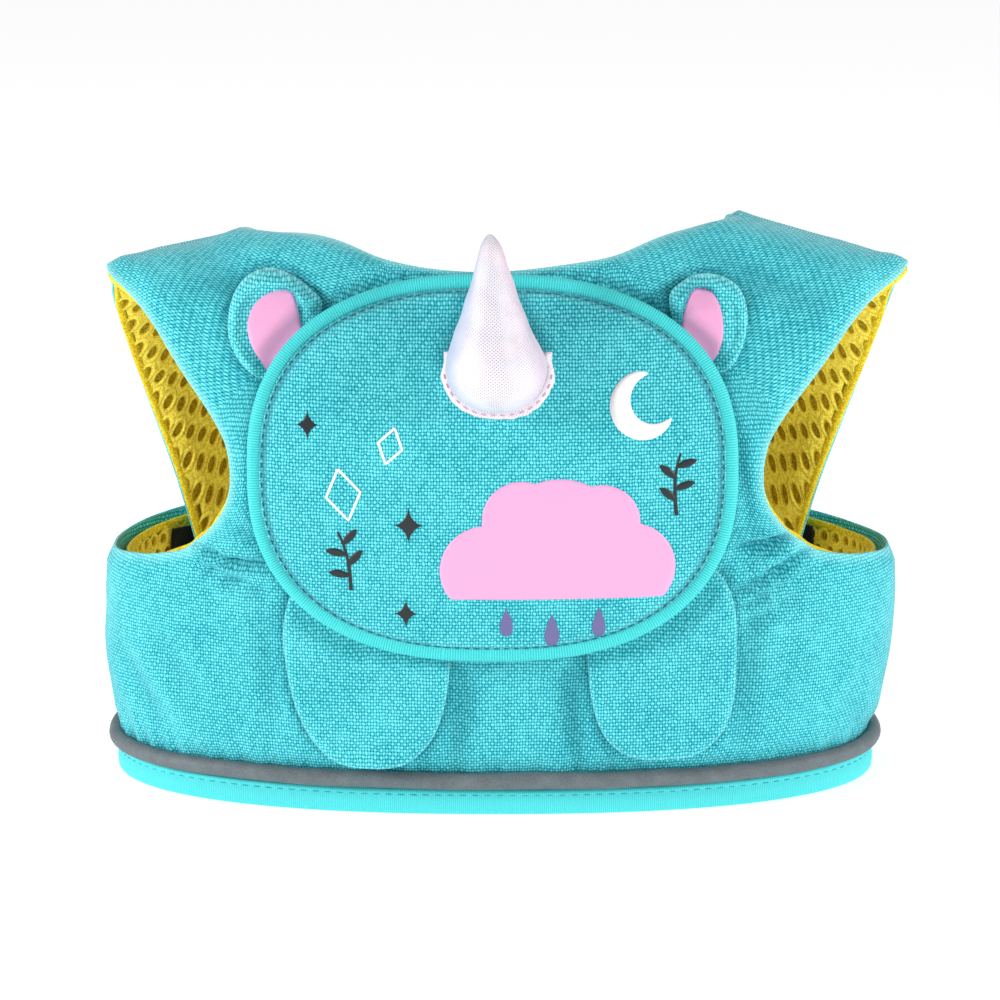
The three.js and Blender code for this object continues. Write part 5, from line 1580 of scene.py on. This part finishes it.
def build_buckle():
    """A body with a frame round each webbing end, and a squeeze tab at the top and bottom."""
    low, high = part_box("buckle")
    centre = (np.array(low) + np.array(high)) / 2 * 1000 - SHIFT
    blocks = [(BUCKLE_BODY, (0, 0, 0))]
    for side in (-1, 1):
        blocks += [(BUCKLE_RAIL, (side * RAIL_X, 0, up * RAIL_Z)) for up in (-1, 1)]
        blocks.append((BUCKLE_BAR, (side * BAR_X, 0, 0)))
    blocks += [(BUCKLE_TAB, (0, 0, up * TAB_Z)) for up in (-1, 1)]
    parts = []
    for block, place in blocks:
        points, faces = rounded_box(*block)
        parts.append((points + centre + np.array(place), faces))
    obj = mesh("buckle_body", *join(parts), PLASTIC, "plastic")
    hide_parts("buckle")


# Prints on the flap

PRINT_LIFT, PRINT_DEPTH = 0.16, -0.15
ROUND = np.linspace(0, 2 * math.pi, 241)[:-1]
# Middle x and z and size of what is printed, with the lean of some
CLOUD_MIDDLE, CLOUD_FOOT = np.array([19.0, 86.0]), 12.6
CLOUD_ROUNDS = (
    (19.0, 91.0, 20.6),
    (-3.0, 82.6, 14.5),
    (40.5, 82.9, 14.5),
    (7.5, 99.0, 12.0),
    (32.0, 97.5, 12.0),
)
DROPS = ((3.0, 66.0, 3.6), (17.0, 63.2, 4.2), (31.5, 65.6, 3.8))
MOON_X, MOON_Z, MOON_SIZE, MOON_LEAN = 46.0, 134.0, 8.6, math.radians(28)
DIAMONDS = ((-47.0, 106.0, 6.0, 0.2), (-32.5, 121.5, 4.2, -0.25))
SPRIGS = ((-48.0, 84.0, 0.35, 1), (57.0, 108.0, -0.2, -1))  # lean and side in place of the size
LEAVES = (0.22, 0.4, 0.58, 0.76)
SPARKLES = ((-27.0, 97.0, 3.0), (-58.0, 127.0, 2.4), (-28.0, 68.5, 2.4))
SPARKLE_POWER = 0.62
DIAMOND_LINE, STEM_LINE, LEAF_WIDE, LEAF_OUT, LEAF_UP = 0.75, 0.9, 2.1, 5.6, 3.4


def print_patch(outline, tree, rings):
    """A thin transfer over a closed outline that its centre sees all of."""
    x, z = counter_clockwise(*outline.T)
    xs, zs, _, faces, rim = disc((x.mean(), z.mean()), x, z, np.linspace(1 / rings, 1.0, rings))
    top, low = (drape([tree], xs, zs, lift)[0] for lift in (PRINT_LIFT, PRINT_DEPTH))
    return closed_form(top, low, faces, rim)


def print_line(path, width, tree, lift=PRINT_LIFT):
    """A printed line of that width along x and z points. Width may vary along it."""
    along = unit(np.gradient(path, axis=0))
    side = np.stack([-along[:, 1], along[:, 0]], -1) * np.broadcast_to(width, len(path))[:, None] / 2
    rows = []
    for share, up in ((1, lift), (0.4, lift), (-0.4, lift), (-1, lift), (-1, PRINT_DEPTH), (1, PRINT_DEPTH)):
        rows.append(drape([tree], *(path + side * share).T, up)[0])
    return lofted(np.stack(rows, 1))


def turned(q, ox, oz, lean):
    """Points turned by an angle and moved."""
    x = ox + q[:, 0] * math.cos(lean) - q[:, 1] * math.sin(lean)
    return np.stack([x, oz + q[:, 0] * math.sin(lean) + q[:, 1] * math.cos(lean)], -1)


def build_cloud(tree):
    """The outer edge of overlapping rounds over a flat foot."""
    edge = []
    for direction in np.stack([np.cos(ROUND), np.sin(ROUND)], -1):
        far = 0.0
        for ox, oz, r in CLOUD_ROUNDS:
            o = np.array([ox, oz]) - CLOUD_MIDDLE
            b = direction @ o
            square = b * b - (o @ o - r * r)
            if square > 0:
                far = max(far, b + math.sqrt(square))
        if direction[1] < 0:
            far = min(far, CLOUD_FOOT / -direction[1])
        edge.append(CLOUD_MIDDLE + direction * far)
    mesh("print_cloud", *print_patch(np.array(edge), tree, 26), PINK, "pink")


def build_drops(tree):
    drops = []
    for ox, oz, size in DROPS:
        wide = size * 0.72 * np.sin(ROUND) * np.sin(ROUND / 2) ** 1.1
        drop = np.stack([wide, size * 1.25 * np.cos(ROUND)], -1) + (ox, oz)
        drops.append(print_patch(drop, tree, 7))
    mesh("print_drops", *join(drops), PLUM_PRINT, "pink")


def print_moon(tree):
    bow = np.radians(np.linspace(62, 298, 70))
    spine = np.stack([MOON_SIZE * np.cos(bow) + 0.3, MOON_SIZE * np.sin(bow)], -1)
    wide = 6.4 * np.sin(np.linspace(0, math.pi, 70)) ** 0.8 + 0.25
    return print_line(turned(spine, MOON_X, MOON_Z, MOON_LEAN), wide, tree)


def print_diamond(tree, ox, oz, size, lean):
    corners = np.array([(0, 1.35), (-0.9, 0), (0, -1.35), (0.9, 0), (0, 1.35)]) * size
    sides = [np.linspace(corners[k], corners[k + 1], 9)[:-1] for k in range(4)]
    return print_line(turned(np.concatenate(sides + [corners[-1:]]), ox, oz, lean), DIAMOND_LINE, tree, 0.17)


def print_sprig(tree, ox, oz, lean, flip):
    """A bent stem with leaves to both sides in turn."""

    def stem(t):
        return np.stack([flip * 3.0 * np.sin(t * 2.0), -9 + 19 * t], -1)

    t = np.linspace(0, 1, 30)
    wide = STEM_LINE * (1 - 0.6 * t) + 0.25
    parts = [print_line(turned(stem(t), ox, oz, lean), wide, tree, 0.2)]
    t = np.linspace(0, 1, 16)
    for k, at in enumerate(LEAVES):
        way = 1 if k % 2 else -1
        leaf = stem(at) + np.stack([way * LEAF_OUT * t, LEAF_UP * t**0.8], -1)
        wide = LEAF_WIDE * np.sin(t * math.pi) ** 0.8 + 0.3
        parts.append(print_line(turned(leaf, ox, oz, lean), wide, tree, 0.22))
    return parts


def print_sparkle(tree, ox, oz, size):
    across, up = np.cos(ROUND), np.sin(ROUND)
    star = (np.abs(across) ** SPARKLE_POWER + np.abs(up) ** SPARKLE_POWER) ** (1 / SPARKLE_POWER)
    far = size / star * 1.5
    return print_patch(np.stack([far * across, far * 1.25 * up], -1) + (ox, oz), tree, 5)


def build_prints(tree):
    build_cloud(tree)
    build_drops(tree)
    whites = [print_moon(tree)] + [print_diamond(tree, *values) for values in DIAMONDS]
    mesh("print_white", *join(whites), WHITE_PRINT, "satin")
    darks = [part for values in SPRIGS for part in print_sprig(tree, *values)]
    darks += [print_sparkle(tree, *values) for values in SPARKLES]
    mesh("print_dark", *join(darks), BLACK_PRINT, "plastic")


# Build

build_cover()
build_lining()
build_hem_tape()
build_hem_stitches()
build_piping()
flap_tree = build_flap()
build_flap_stitches([flap_tree, build_flap_binding()])
for which in ("left", "right"):
    build_ear(which)
    build_leg(which)
build_horn()
build_horn_lip(flap_tree)
build_webbing("left")
build_webbing("right")
build_buckle()
build_prints(flap_tree)


# Floor, light and camera: places in metres in the row frame

scene = bpy.context.scene
FLOOR_HALF = 6
LIGHT_TARGET, LIGHT_SIZE = (0, 0, 0.08), 0.4
WORLD_STRENGTH = 0.48
ELEVATION, DISTANCE = math.radians(13.0), 1.3
LOOK_AT = (np.array([1.0, 0.0, 87.5]) + SHIFT) * 0.001


def build_floor():
    h = FLOOR_HALF
    floor = bpy.data.objects.new("floor", bpy.data.meshes.new("floor"))
    floor.data.from_pydata([(-h, -h, 0), (h, -h, 0), (h, h, 0), (-h, h, 0)], [], [(0, 1, 2, 3)])
    floor.data.materials.append(FLOOR)
    scene.collection.objects.link(floor)


def light_world():
    world = bpy.data.worlds.new("studio")
    scene.world = world
    world.use_nodes = True
    world.node_tree.nodes["Background"].inputs[0].default_value = (1, 1, 1, 1)
    world.node_tree.nodes["Background"].inputs[1].default_value = WORLD_STRENGTH


def soft_light(name, place, watts):
    light = bpy.data.lights.new(name, "AREA")
    light.shape = "RECTANGLE"
    light.size = light.size_y = LIGHT_SIZE
    light.energy = watts
    obj = bpy.data.objects.new(name, light)
    obj.location = place
    obj.rotation_euler = (Vector(LIGHT_TARGET) - Vector(place)).to_track_quat("-Z", "Y").to_euler()
    scene.collection.objects.link(obj)


def place_camera():
    camera = bpy.data.objects.new("camera", bpy.data.cameras.new("camera"))
    camera.location = LOOK_AT + np.array([0, -math.cos(ELEVATION), math.sin(ELEVATION)]) * DISTANCE
    camera.rotation_euler = (math.pi / 2 - ELEVATION, 0, 0)
    camera.data.lens, camera.data.sensor_width = 144.0, 36.0
    camera.data.clip_start = 0.01
    scene.collection.objects.link(camera)
    scene.camera = camera


build_floor()
light_world()
scene.view_settings.view_transform = "Standard"
soft_light("left", (-1.4, -0.52, 0.62), 15.5)
soft_light("right", (1.4, -0.52, 0.5), 12.5)
place_camera()
